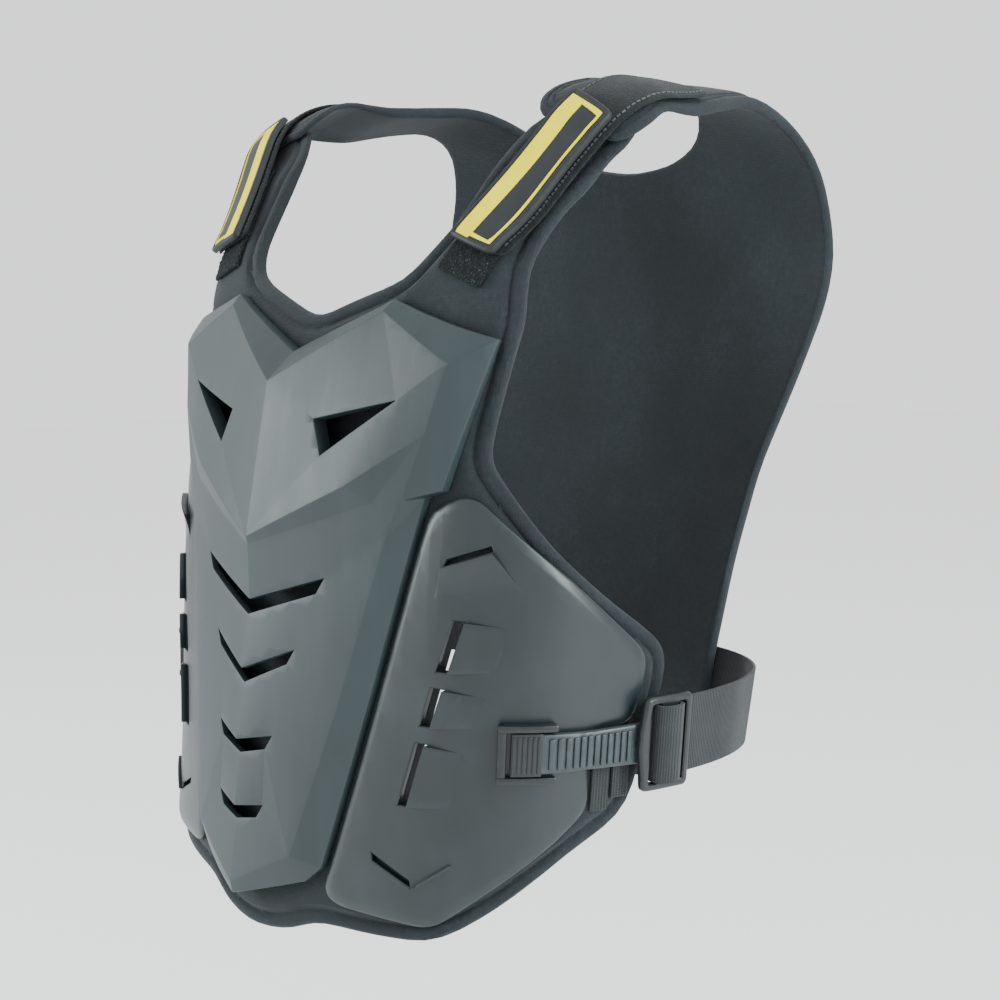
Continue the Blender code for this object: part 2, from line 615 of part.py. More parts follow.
def chest_plate():
    """Faceted hard shell with a turned-down rim, two vents and four chevron slots"""
    bm = bmesh.new()
    corners = {name: bm.verts.new(plate_point(name)) for name in PLATE_CORNERS}
    ridge_low, outer_low = corners["step"], corners["brow_low"]
    slots = []
    for span, outer_down, ridge_down, above, below, outer_rise, height in CHEVRONS:
        reach, tall = span * PLATE_HALF, height * SLOT_HEIGHT
        outer_t = -PLATE_TOP - outer_down * PLATE_DROP
        ridge_t = -PLATE_TOP - ridge_down * PLATE_DROP
        base = PLATE_SEAT + PLATE_WALL
        slots.append([
            bm.verts.new((0, ridge_t, base + above * PLATE_RISE)),
            bm.verts.new((reach, outer_t, base + outer_rise * PLATE_RISE)),
            bm.verts.new((reach - tall * 0.6, outer_t - tall, base + outer_rise * PLATE_RISE)),
            bm.verts.new((0, ridge_t - tall * 0.9, base + below * PLATE_RISE)),
        ])
    facets = [
        ("notch", "peak", "peak_in", "apex"),
        ("peak", "corner", "corner_in", "peak_in"),
        ("corner", "waist", "waist_in", "corner_in"),
        ("apex", "peak_in", "vent_tip", "vent_top"),
        ("peak_in", "corner_in", "vent_tip"),
        ("corner_in", "waist_in", "vent_tip"),
        ("vent_tip", "waist_in", "brow", "vent_low"),
        ("apex", "vent_top", "vent_low", "crease"),
        ("crease", "vent_low", "brow"),
        ("crease", "brow", "brow_low", "step"),
        ("brow", "waist_in", "brow_low"),
        ("brow_low", "waist_in", "hip_in"),
        ("waist_in", "waist", "hip_in"),
        ("hip_in", "waist", "hip"),
        ("hip_in", "hip", "rib_in"),
        ("rib_in", "hip", "foot_side", "foot_in", "belly_in"),
        ("chin_in", "foot_in", "foot_side", "foot", "chin"),
    ]
    for names in facets:
        bm.faces.new([corners[name] for name in names])
    first, second, third, fourth = slots
    rib_in, belly_in, foot_in = corners["rib_in"], corners["belly_in"], corners["foot_in"]
    bm.faces.new([ridge_low, outer_low, first[1], first[0]])
    bm.faces.new([outer_low, corners["hip_in"], rib_in, first[1]])
    bm.faces.new([first[1], rib_in, belly_in, first[2]])
    bm.faces.new([first[2], belly_in, second[1]])
    bm.faces.new([second[1], belly_in, second[2]])
    bm.faces.new([second[2], belly_in, third[1]])
    bm.faces.new([third[1], belly_in, foot_in, third[2]])
    bm.faces.new([third[2], foot_in, fourth[1]])
    bm.faces.new([fourth[1], foot_in, fourth[2]])
    for upper, lower in zip(slots, slots[1:]):
        bm.faces.new([upper[3], upper[2], lower[1], lower[0]])
    bm.faces.new([fourth[3], fourth[2], foot_in, corners["chin_in"]])
    bmesh.ops.mirror(bm, geom=bm.verts[:] + bm.edges[:] + bm.faces[:], axis="X", merge_dist=1e-6)
    bmesh.ops.recalc_face_normals(bm, faces=bm.faces[:])
    if sum(face.normal.z for face in bm.faces) < 0:
        bmesh.ops.reverse_faces(bm, faces=bm.faces[:])
    rim_names = ("notch", "peak", "corner", "waist", "hip", "foot_side", "foot", "chin")
    rim = {(round(side * plate_point(name)[0], 6), round(plate_point(name)[1], 6))
           for name in rim_names for side in (-1, 1)}
    at_rim = {v for v in bm.verts if (round(v.co.x, 6), round(v.co.y, 6)) in rim}
    rim_edges = [e for e in bm.edges if e.is_boundary and all(v in at_rim for v in e.verts)]
    skirt = bmesh.ops.extrude_edge_only(bm, edges=rim_edges)["geom"]
    for vert in skirt:
        if isinstance(vert, bmesh.types.BMVert):
            vert.co.z = PLATE_SEAT
    add_part("chest_plate", bend(solidify(bm, PLATE_WALL), on_body), "plate")


def side_plate(side, mirrored):
    """Hard wing plate with a chamfered rim and a column of slots"""
    outline = front_points(SIDE_OUTLINE)
    top, low = outline[-1][1] - 0.004, outline[0][1] + 0.006
    outline += [(seam_edge(top), top), (seam_edge(low), low)]
    rim = PLATE_SEAT + SIDE_EDGE
    loops = [(outline, rim), (inset(outline, SIDE_CHAMFER), SIDE_TOP)]
    holes = [(grille_slot(*row), SIDE_TOP) for row in GRILLE]
    add_part("side_plate_" + side, bend(panel(loops, holes, PLATE_SEAT), on_body, mirrored), "side_plate")


def strap_catch(side, mirrored):
    """Catch housing on the side plate, open to the rear where the ladder strap enters"""
    low, high = STRAP_LEVEL - CATCH_HEIGHT / 2, STRAP_LEVEL + CATCH_HEIGHT / 2
    start = STRAP_START - (CATCH_HEIGHT - LADDER_HEIGHT) / 2 - GAP
    end = start + CATCH_LENGTH
    outline = [(start + CATCH_CORNER, low), (end, low), (end, high), (start + CATCH_CORNER, high),
               (start, high - CATCH_CORNER), (start, low + CATCH_CORNER)]
    top = CATCH_SEAT + CATCH_RISE
    housing = panel([(outline, top - CATCH_EDGE), (inset(outline, CATCH_EDGE), top)], [], CATCH_SEAT)
    clear = LADDER_HEIGHT / 2 + GAP
    pocket = block(STRAP_START - GAP, end + CATCH_LENGTH, STRAP_LEVEL - clear, STRAP_LEVEL + clear,
                   CATCH_SEAT + CATCH_FLOOR, top + CATCH_RISE)
    add_part("strap_catch_" + side, bend(combine(housing, "DIFFERENCE", [pocket]), on_body, mirrored), "buckle")


def ladder_strap(side, mirrored):
    """Toothed plastic strap: smooth borders and a row of ribs"""
    low, high = STRAP_LEVEL - LADDER_HEIGHT / 2, STRAP_LEVEL + LADDER_HEIGHT / 2
    top = LADDER_SEAT + LADDER_WALL
    outline = [(STRAP_START + LADDER_TIP, low), (LADDER_END, low), (LADDER_END, high),
               (STRAP_START + LADDER_TIP, high), (STRAP_START, high - LADDER_TIP), (STRAP_START, low + LADDER_TIP)]
    strap = panel([(outline, top)], [], LADDER_SEAT)
    first = BUCKLE_START - RIB_CLEAR - RIBS * RIB_PITCH
    teeth = [(first + RIBS * RIB_PITCH, top - LADDER_WALL / 2), (first, top - LADDER_WALL / 2)]
    for i in range(RIBS):
        u = first + i * RIB_PITCH
        teeth += [(u, top + 0.0001), (u + RIB_PITCH * 0.35, top + RIB_RISE), (u + RIB_PITCH * 0.85, top + RIB_RISE)]
    teeth.append((first + RIBS * RIB_PITCH, top + 0.0001))
    ribs = extrusion(teeth, low + LADDER_BORDER, high - LADDER_BORDER)
    add_part("ladder_strap_" + side, bend(combine(strap, "UNION", [ribs]), on_body, mirrored), "ladder")


def buckle_places():
    """Front and rear edges of the two windows of the buckle"""
    front = BUCKLE_START + LEFT_BAR
    rear = BUCKLE_START + BUCKLE_WIDTH - RIGHT_BAR
    middle = (front + rear) / 2
    return front, middle - CENTRE_BAR / 2, middle + CENTRE_BAR / 2, rear


def buckle_frame(side, mirrored):
    """Three-bar slide: a kinked front bar, a straight rear bar and a centre bar for the elastic strap"""
    low, high = STRAP_LEVEL - BUCKLE_HEIGHT / 2, STRAP_LEVEL + BUCKLE_HEIGHT / 2
    start, end = BUCKLE_START, BUCKLE_START + BUCKLE_WIDTH
    corner, kink = BUCKLE_CORNER, BUCKLE_KINK
    outline = [(start + corner, low), (end - corner, low), (end, low + corner), (end, high - corner),
               (end - corner, high), (start + corner, high), (start + kink, high - corner),
               (start, STRAP_LEVEL), (start + kink, low + corner)]
    front, bar_front, bar_rear, rear = buckle_places()
    top = BUCKLE_SEAT + BUCKLE_WALL
    holes = []
    for u0, u1 in ((front, bar_front), (bar_rear, rear)):
        holes.append(([(u0, low + END_BAR), (u1, low + END_BAR), (u1, high - END_BAR), (u0, high - END_BAR)], top))
    loops = [(outline, top - BUCKLE_BEVEL), (inset(outline, BUCKLE_BEVEL), top)]
    add_part("buckle_frame_" + side, bend(panel(loops, holes, BUCKLE_SEAT), on_flank, mirrored), "buckle")


def ribbon(route, thickness):
    """The two sides of a strip of even width along a route"""
    sides = [[], []]
    for i, (u, w) in enumerate(route):
        before, after = route[max(i - 1, 0)], route[min(i + 1, len(route) - 1)]
        along = Vector((after[0] - before[0], after[1] - before[1])).normalized()
        for points, sign in zip(sides, (1, -1)):
            points.append((u - sign * along.y * thickness / 2, w + sign * along.x * thickness / 2))
    return sides


def strap(route, thickness, low, high):
    """A strap whose thickness follows a route in u and w, from the place low to the place high along t"""
    bm = bmesh.new()
    sides = [[bm.verts.new((u, low, w)) for u, w in side] for side in ribbon(route, thickness)]
    for i in range(len(route) - 1):
        bm.faces.new((sides[0][i], sides[0][i + 1], sides[1][i + 1], sides[1][i]))
    raised = bmesh.ops.extrude_face_region(bm, geom=bm.faces[:])["geom"]
    for vert in raised:
        if isinstance(vert, bmesh.types.BMVert):
            vert.co.y = high
    bmesh.ops.recalc_face_normals(bm, faces=bm.faces[:])
    return bm


def elastic_band(side, mirrored):
    """Ribbed elastic strap: round the buckle's centre bar, round the flank and onto the back panel"""
    front, bar_front, bar_rear, rear = buckle_places()
    half, bulge = ELASTIC / 2 + GAP, 0.0014
    under, top = BUCKLE_SEAT - half, BUCKLE_SEAT + BUCKLE_WALL
    middle = (bar_front + bar_rear) / 2
    seat = FOAM + GAP + ELASTIC / 2
    tail = seat + 0.0012
    reach = FLANK_START + FLANK_SPAN
    radius = (bar_rear - bar_front) / 2 + half
    route = [(middle + radius + 0.004, tail), (middle, tail + 0.0002), (bar_front - half + 0.0012, tail + 0.0012),
             (bar_front - half, under)]
    for angle in (0, 35, 90, 145, 180):
        turn = math.radians(angle)
        route.append((middle - radius * math.cos(turn), top + (half + bulge) * math.sin(turn)))
    route += [(bar_rear + half, under + 0.0008),
              (bar_rear + half + 0.0022, under - 0.0012), (rear + RIGHT_BAR, under - 0.0018),
              (FLANK_START, under - 0.0022)]
    steps = 12
    for i in range(1, steps):
        share = i / steps
        route.append((FLANK_START + FLANK_SPAN * share, under - 0.0022 + (seat - under + 0.0022) * share))
    route += [(reach, seat), (reach + ELASTIC_SEAT, seat)]
    low, high = STRAP_LEVEL - ELASTIC_HEIGHT / 2, STRAP_LEVEL + ELASTIC_HEIGHT / 2
    band = strap(route, ELASTIC, low, high)
    add_part("elastic_band_" + side, bend(band, on_flank, mirrored), "webbing")


def keeper_tapes(side, mirrored):
    """Two short tapes sewn to the foam behind the ladder strap"""
    for index, name in enumerate(("front", "rear")):
        place = TAPE_PLACE + index * TAPE_STEP
        low = TAPE_LOW + index * TAPE_STEP / 2
        tape = block(place, place + TAPE_WIDTH, low, STRAP_LEVEL + TAPE_TUCK, PLATE_SEAT, PLATE_SEAT + TAPE)
        add_part("keeper_tape_%s_%s" % (name, side), bend(tape, on_body, mirrored), "webbing")


def closure_strip(start, end, width):
    """Outline of a strip of even width along the shoulder closure's middle line, between two places"""
    line = [(across * HALF, along * DROP) for across, along in CLOSURE_LINE]
    places = [start] + [t for u, t in line if start + 0.004 < t < end - 0.004] + [end]
    middle = [(float(np.interp(t, [p[1] for p in line], [p[0] for p in line])), t) for t in places]
    left, right = ribbon(middle, width)
    return left + right[::-1]


def closure_height(t):
    """Height of the tab's underside: on the hook pad in front, then on the back panel"""
    on_back = lap(t) + FOAM * back_press(t) + 2 * GAP
    return TAB_SEAT + (on_back - TAB_SEAT) * smooth(t, LOBE_START - CLIMB, LOBE_START)


def on_closure(u, t, w):
    return on_body(u, t, w + closure_height(t))


def shoulder_closure(side, mirrored):
    """Hook pad on the front panel, tab from the back panel and the badge on the tab's end"""
    start = BADGE_FROM * DROP
    pad = closure_strip(start - PAD_LEAD, start - PAD_LEAD + PAD_LENGTH, BADGE_WIDTH)
    add_part("hook_pad_" + side, bend(panel([(pad, HOOK_PAD)], [], 0.0), on_strap, mirrored), "hook")
    tab = closure_strip(start + TAB_START, TAB_TO * DROP, TAB_WIDTH)
    add_part("shoulder_tab_" + side, bend(panel([(tab, TAB)], [], 0.0), on_closure, mirrored), "webbing")
    badge = closure_strip(start, start + BADGE_LENGTH, BADGE_WIDTH)
    top = BADGE_SEAT + BADGE
    loops = [(badge, top - BADGE_EDGE), (inset(badge, BADGE_EDGE), top)]
    add_part("shoulder_badge_" + side, bend(panel(loops, [], BADGE_SEAT), on_closure, mirrored), "rubber")


def back_foam():
    """Back panel with two shoulder wings whose lobed ends lap over the front panel"""
    outline = both_halves(back_points(BACK_OUTLINE))
    loops = [(outline, WELT_HEIGHT), (inset(outline, WELT), GROOVE_HEIGHT),
             (inset(outline, WELT + GROOVE), FOAM)]
    add_part("back_foam", bend(panel(loops, [], 0.0), lapped), "foam")


def back_plate():
    """Plain hard plate with a stepped border on the back panel"""
    outline = both_halves(back_points(BACK_PLATE_OUTLINE))
    base = PLATE_SEAT + BACK_PLATE_WALL
    loops = [(outline, PLATE_SEAT + SIDE_EDGE), (inset(outline, SIDE_CHAMFER), base),
             (inset(outline, BACK_PLATE_BORDER), base),
             (inset(outline, BACK_PLATE_BORDER + SIDE_CHAMFER), base + BACK_PLATE_STEP)]
    add_part("back_plate", bend(panel(loops, [], PLATE_SEAT), on_body), "plate")


def new_collection(name):
    made = bpy.data.collections.new(name)
    bpy.context.scene.collection.children.link(made)
    return made


for old in list(bpy.data.objects):
    bpy.data.objects.remove(old, do_unlink=True)
PARTS = new_collection("chest_protector")
CUTTERS = new_collection("cutters")
ROOT = bpy.data.objects.new("chest_protector_root", None)
PARTS.objects.link(ROOT)

front_foam()
chest_plate()
for SIDE, MIRRORED in (("left", False), ("right", True)):
    side_plate(SIDE, MIRRORED)
    strap_catch(SIDE, MIRRORED)
    ladder_strap(SIDE, MIRRORED)
    buckle_frame(SIDE, MIRRORED)
    elastic_band(SIDE, MIRRORED)
    keeper_tapes(SIDE, MIRRORED)
    shoulder_closure(SIDE, MIRRORED)
back_foam()
back_plate()
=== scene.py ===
"""Looks of the motocross chest protector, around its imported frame.

Metres, in the frame's axes: +Z up, the wearer faces -Y and +X is the wearer's left. Each panel, plate and
strap is drawn flat in pattern space, with u across from the centre line, t along the body and w outwards,
and is then laid on the torso form that the frame's own solids were bent on.
"""

import math
import random

import bmesh
import bpy
import numpy as np
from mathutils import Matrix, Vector


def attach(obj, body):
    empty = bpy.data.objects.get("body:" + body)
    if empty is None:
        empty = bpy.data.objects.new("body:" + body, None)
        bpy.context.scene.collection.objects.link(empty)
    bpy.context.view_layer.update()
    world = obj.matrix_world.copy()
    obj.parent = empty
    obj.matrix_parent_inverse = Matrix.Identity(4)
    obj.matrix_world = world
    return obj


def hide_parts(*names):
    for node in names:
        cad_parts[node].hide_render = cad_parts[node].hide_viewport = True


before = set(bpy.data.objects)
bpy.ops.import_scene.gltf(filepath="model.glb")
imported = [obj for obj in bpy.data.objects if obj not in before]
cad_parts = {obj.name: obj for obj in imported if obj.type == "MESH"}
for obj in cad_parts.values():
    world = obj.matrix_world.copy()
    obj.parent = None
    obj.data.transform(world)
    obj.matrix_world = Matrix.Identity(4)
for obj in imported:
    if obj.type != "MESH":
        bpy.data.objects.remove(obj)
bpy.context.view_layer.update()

# Torso form: side profile, as shares of each run with the heading in degrees at each end
TOP_HEIGHT = 0.004
CHEST_RUN = 0.174
CHEST_ROWS = (
    # share, heading in, heading out
    (0.069, 0, 0),
    (0.287, 0, 55),
    (0.437, 55, 57),
    (0.207, 57, 82),
)
BACK_RUN = 0.206
BACK_ROWS = (
    (0.272, 0, 4),
    (0.388, 4, 80),
    (0.340, 80, 100),
)
# Torso form: level sections of a broad bow, a tight flank arc and a side arc
CHEST_BOW, BELLY_BOW, BACK_BOW = 0.520, 0.260, 0.900
BOW_HALF, STRAP_BOW_HALF, BACK_BOW_HALF = 0.110, 0.136, 0.152
FLANK_RADIUS, BELLY_FLANK_RADIUS, BACK_FLANK_RADIUS = 0.058, 0.070, 0.075
SIDE_RADIUS = 0.230
FLANK_TURN = 72
BELLY_FROM, BELLY_TO = 0.200, 0.430
SADDLE_FROM, SADDLE_TO = -0.085, -0.010
REAR_FROM, REAR_TO = 0.010, 0.110
LEAD, SETTLE = 0.020, 0.030

# Foam panels
FOAM = 0.008
PRESS = 0.55
HALF = 0.229
DROP = 0.438
BACK_HALF = 0.162
BACK_DROP = 0.536
LAP_END = 0.042
LAP_RAMP = 0.034
LOBE_START = -0.002
CLIMB = 0.016
PRESS_RAMP = 0.032
GAP = 0.0008

# Plates
PLATE_WALL = 0.0025
PLATE_HALF = 0.130
PLATE_TOP = 0.110
PLATE_DROP = 0.310
PLATE_RISE = 0.0232
SLOT_HEIGHT = 0.0085
VENT_FLANGE = 0.0085
SLOT_FLANGE = 0.0040
PLATE_BEVEL = 0.0010
SIDE_WALL = 0.0032
SEAM = 0.0025
GRILLE_SETBACK = 0.029
GRILLE_WIDTH = 0.0065
GILL_REACH, GILL_RISE = 0.019, 0.0032
BACK_PLATE_WALL = 0.003
BACK_PLATE_STEP = 0.0025

# Shoulder closure
HOOK_PAD = 0.0018
TAB = 0.0015
BADGE_SEAT = TAB + 1.5 * GAP
TAB_WIDTH = 0.034
BADGE = 0.0035
BADGE_WIDTH, BADGE_LENGTH = 0.028, 0.099
PAD_LEAD, PAD_LENGTH = 0.014, 0.076
TAB_START = 0.002
BADGE_FROM = -0.1925
TAB_TO = 0.175

# Side straps
STRAP_LEVEL = -0.735 * DROP
STRAP_START = 0.642 * HALF
CATCH_LENGTH, CATCH_HEIGHT, CATCH_RISE = 0.023, 0.029, 0.0056
CATCH_FLOOR = 0.0012
LADDER_HEIGHT, LADDER_WALL, RIB_RISE = 0.0205, 0.0026, 0.0010
RIBS = 12
RIB_PITCH = 0.0034
BUCKLE_START = 0.8886 * HALF
LADDER_END = BUCKLE_START + 0.0065
BUCKLE_WIDTH, BUCKLE_HEIGHT, BUCKLE_WALL = 0.029, 0.0475, 0.004
LEFT_BAR, RIGHT_BAR, END_BAR, CENTRE_BAR = 0.006, 0.0035, 0.0038, 0.0095
ELASTIC_HEIGHT, ELASTIC = 0.0385, 0.0018
ELASTIC_SEAT = 0.012
TAPE, TAPE_WIDTH = 0.0012, 0.0095
TAPE_PLACE = 0.8122 * HALF
TAPE_LOW = -0.812 * DROP
TAPE_STEP = 0.0108
TAPE_TUCK = 0.003

PLATE_SEAT = FOAM + GAP
SIDE_TOP = PLATE_SEAT + SIDE_WALL
CATCH_SEAT = SIDE_TOP + GAP
LADDER_SEAT = CATCH_SEAT + CATCH_FLOOR + GAP
BUCKLE_SEAT = LADDER_SEAT + LADDER_WALL + GAP
TAB_SEAT = FOAM + GAP + HOOK_PAD + GAP

# Spacing of the cuts that let a flat pattern follow the form
FINE, BROAD = 0.004, 0.008

FRONT_OUTLINE = (
    # across, down, as shares of HALF and DROP
    (0.000, 0.274), (0.262, 0.231), (0.310, 0.213), (0.349, 0.178), (0.367, 0.142), (0.392, 0.064),
    (0.415, 0.007), (0.486, -0.040), (0.682, -0.061), (0.696, -0.024), (0.664, 0.017), (0.643, 0.064),
    (0.604, 0.107), (0.582, 0.175), (0.597, 0.231), (0.605, 0.267), (0.585, 0.322), (0.563, 0.395),
    (0.564, 0.420), (0.590, 0.441), (0.716, 0.521), (0.838, 0.575), (0.943, 0.614), (0.985, 0.633),
    (1.000, 0.664), (0.913, 0.822), (0.760, 0.868), (0.624, 0.925), (0.515, 0.962), (0.393, 0.966),
    (0.212, 0.968), (0.120, 0.990), (0.000, 1.000),
)
BACK_OUTLINE = (
    # across, along, as shares of BACK_HALF and BACK_DROP
    (0.000, 0.352), (0.216, 0.343), (0.383, 0.319), (0.494, 0.276), (0.568, 0.222), (0.617, 0.165),
    (0.634, 0.110), (0.625, 0.066), (0.600, 0.045), (0.604, 0.023), (0.660, 0.006), (0.755, 0.012),
    (0.914, 0.004), (0.969, 0.013), (0.995, 0.034), (0.995, 0.056), (0.966, 0.079), (0.960, 0.106),
    (0.935, 0.151), (0.878, 0.211), (0.864, 0.261), (0.895, 0.299), (0.935, 0.332), (0.978, 0.388),
    (1.000, 0.440), (0.969, 0.494), (0.889, 0.560), (0.765, 0.650), (0.700, 0.746), (0.660, 0.858),
    (0.655, 0.930), (0.600, 0.974), (0.400, 0.994), (0.000, 1.000),
)
BACK_PLATE_OUTLINE = (
    # across, along, as shares of BACK_HALF and BACK_DROP
    (0.000, 0.410), (0.340, 0.396), (0.617, 0.414), (0.790, 0.450), (0.802, 0.500), (0.720, 0.570),
    (0.610, 0.660), (0.556, 0.770), (0.549, 0.880), (0.537, 0.946), (0.500, 0.960), (0.320, 0.972),
    (0.000, 0.978),
)
PLATE_CORNERS = {
    # name: across, down, rise, as shares of PLATE_HALF, PLATE_DROP and PLATE_RISE
    "notch": (0.000, 0.092, 0.25), "apex": (0.000, 0.144, 0.85), "crease": (0.000, 0.402, 1.00),
    "step": (0.000, 0.414, 0.93), "peak": (0.531, 0.000, 0.07), "peak_in": (0.515, 0.018, 0.27),
    "corner": (1.000, 0.055, 0.10), "corner_in": (0.877, 0.097, 0.48), "waist_in": (0.815, 0.206, 0.48),
    "waist": (0.869, 0.290, 0.16), "brow": (0.492, 0.298, 0.76), "brow_low": (0.600, 0.319, 0.52),
    "vent_top": (0.277, 0.198, 0.70), "vent_low": (0.338, 0.255, 0.72), "vent_tip": (0.677, 0.158, 0.57),
    "hip": (0.792, 0.303, 0.10), "hip_in": (0.731, 0.310, 0.42), "rib_in": (0.669, 0.368, 0.40),
    "belly_in": (0.496, 0.639, 0.40), "foot_in": (0.308, 0.906, 0.40), "foot_side": (0.427, 0.916, 0.10),
    "foot": (0.354, 0.945, 0.10), "chin_in": (0.000, 0.980, 0.48), "chin": (0.000, 1.000, 0.40),
}
CHEVRONS = (
    # span, outer down, ridge down, rise above, rise below, outer rise, height
    (0.395, 0.447, 0.505, 0.740, 0.730, 0.55, 1.00),
    (0.264, 0.571, 0.620, 0.763, 0.647, 0.55, 0.94),
    (0.177, 0.719, 0.739, 0.716, 0.565, 0.53, 0.90),
    (0.146, 0.837, 0.851, 0.586, 0.487, 0.45, 0.86),
)
SIDE_OUTLINE = (
    # across, down, as shares of HALF and DROP
    (0.275, 0.938), (0.515, 0.943), (0.745, 0.838), (0.808, 0.806), (0.797, 0.768), (0.800, 0.722),
    (0.897, 0.713), (0.912, 0.690), (0.928, 0.655),
    (0.917, 0.632), (0.590, 0.478), (0.566, 0.466), (0.538, 0.461), (0.508, 0.464), (0.480, 0.473),
)
GRILLE = (
    # top, bottom, as shares of DROP
    (0.594, 0.652),
    (0.671, 0.715),
    (0.735, 0.808),
)
CLOSURE_LINE = (
    # across, along, as shares of HALF and DROP
    (0.448, -0.228), (0.600, 0.026), (0.604, 0.060), (0.596, 0.110), (0.576, 0.180),
)

# Edges, from the rim inwards: how far in, height of the upper side, height of the lower side
PRESSED_EDGE = (
    # inset, top, base
    (0.0000, 0.0036, 0.0016), (0.0006, 0.0054, 0.0004), (0.0018, 0.0064, 0.0000), (0.0040, 0.0067, 0.0000),
    (0.0058, 0.0063, 0.0000), (0.0072, 0.0050, 0.0000), (0.0086, 0.0060, 0.0000), (0.0102, 0.0075, 0.0000),
    (0.0130, 0.0080, 0.0000),
)
LAYERED_EDGE = (
    (0.0000, 0.0036, 0.0016), (0.0006, 0.0054, 0.0004), (0.0018, 0.0064, 0.0000), (0.0036, 0.0066, 0.0000),
    (0.0046, 0.0052, 0.0000), (0.0058, 0.0067, 0.0000), (0.0072, 0.0068, 0.0000), (0.0082, 0.0056, 0.0000),
    (0.0096, 0.0073, 0.0000), (0.0130, 0.0080, 0.0000),
)
ROLLED_EDGE = (
    (0.0000, 0.0014, 0.0000), (0.0005, 0.0019, 0.0000), (0.0020, 0.0025, 0.0000), (0.0040, 0.0030, 0.0000),
    (0.0056, 0.0032, 0.0000),
)


def smooth(x, a, b):
    """0 below a, 1 above b and an even curve between"""
    f = np.clip((x - a) / (b - a), 0, 1)
    return f * f * (3 - 2 * f)


def walk(run, rows, direction):
    """Points (length, y, z) along a profile run from the shoulder top"""
    y, z, length = 0.0, TOP_HEIGHT, 0.0
    points = [(length, y, z)]
    steps = 40
    for share, heading_in, heading_out in rows:
        step = share * run / steps
        for i in range(steps):
            heading = math.radians(heading_in + (heading_out - heading_in) * (i + 0.5) / steps)
            y += direction * math.cos(heading) * step
            z -= math.sin(heading) * step
            length += step
            points.append((length, y, z))
    return np.array(points)


CHEST_PATH = walk(CHEST_RUN, CHEST_ROWS, -1)
BACK_PATH = walk(BACK_RUN, BACK_ROWS, 1)
CHEST_LINE = CHEST_PATH[-1, 2]
SHOULDER_LINE = CHEST_LINE + CHEST_PATH[-1, 0]
BLADE_LINE = SHOULDER_LINE + BACK_PATH[-1, 0]
CHEST_SLOPE = 1 / math.tan(math.radians(CHEST_ROWS[-1][2]))
BACK_SLOPE = 1 / math.tan(math.radians(BACK_ROWS[-1][2]))


def profile(t):
    """y, z and the direction in which the sections fall away, for places t along the body"""
    over = SHOULDER_LINE - t
    y = np.where(over > 0, np.interp(over, CHEST_PATH[:, 0], CHEST_PATH[:, 1]),
                 np.interp(-over, BACK_PATH[:, 0], BACK_PATH[:, 1]))
    z = np.where(over > 0, np.interp(over, CHEST_PATH[:, 0], CHEST_PATH[:, 2]),
                 np.interp(-over, BACK_PATH[:, 0], BACK_PATH[:, 2]))
    below = np.clip(CHEST_LINE - t, 0, None)
    behind = np.clip(t - BLADE_LINE, 0, None)
    y = y - below * CHEST_SLOPE + behind * BACK_SLOPE
    z = z - below - behind
    quarter = math.pi / 2
    turn = quarter * smooth(t, CHEST_LINE - LEAD, SHOULDER_LINE - LEAD / 4)
    turn = turn + quarter * smooth(t, SHOULDER_LINE + SETTLE, BLADE_LINE + LEAD / 2)
    return y, z, turn


def section(u, t):
    """Place across and fall of the section at a distance u from the centre line"""
    belly = smooth(-t, BELLY_FROM, BELLY_TO)
    rear = smooth(t, SHOULDER_LINE - REAR_FROM, SHOULDER_LINE + REAR_TO)
    saddle = smooth(t, SADDLE_FROM, SADDLE_TO)
    bow = 1 / (1 / CHEST_BOW + (1 / BELLY_BOW - 1 / CHEST_BOW) * belly + (1 / BACK_BOW - 1 / CHEST_BOW) * rear)
    half = BOW_HALF + (STRAP_BOW_HALF - BOW_HALF) * saddle + (BACK_BOW_HALF - STRAP_BOW_HALF) * rear
    flank = FLANK_RADIUS + (BELLY_FLANK_RADIUS - FLANK_RADIUS) * belly
    flank = flank + (BACK_FLANK_RADIUS - FLANK_RADIUS) * rear
    side_turn = math.radians(FLANK_TURN)
    turn = half / bow
    reach = half + flank * (side_turn - turn)
    a = np.abs(u)
    bow_angle = np.minimum(a, half) / bow
    flank_angle = turn + (np.clip(a, half, reach) - half) / flank
    side_angle = side_turn + (np.maximum(a, reach) - reach) / SIDE_RADIUS
    x = bow * np.sin(bow_angle) + flank * (np.sin(flank_angle) - np.sin(turn))
    x = x + SIDE_RADIUS * (np.sin(side_angle) - math.sin(side_turn))
    fall = bow * (1 - np.cos(bow_angle)) + flank * (np.cos(turn) - np.cos(flank_angle))
    fall = fall + SIDE_RADIUS * (math.cos(side_turn) - np.cos(side_angle))
    return np.sign(u) * x, fall


def surface(u, t):
    y, z, turn = profile(t)
    x, fall = section(u, t)
    return np.stack([x, y + fall * np.cos(turn), z - fall * np.sin(turn)], -1)


def offset(base, u, t, w):
    """Points a height w outside a surface given by base(u, t)"""
    h = 0.0005
    across = base(u + h, t) - base(u - h, t)
    along = base(u, t + h) - base(u, t - h)
    normal = np.cross(across, along)
    normal /= np.linalg.norm(normal, axis=-1, keepdims=True)
    return base(u, t) + normal * w[..., None]


def on_body(u, t, w):
    return offset(surface, u, t, w)


def back_place(z):
    """Place t on the back wall at the height z"""
    return BLADE_LINE + BACK_PATH[-1, 2] - z


FLANK_START = BUCKLE_START + BUCKLE_WIDTH + 0.004
FLANK_SPAN = 0.175
SEAT_IN = 0.549 * BACK_HALF + 0.003


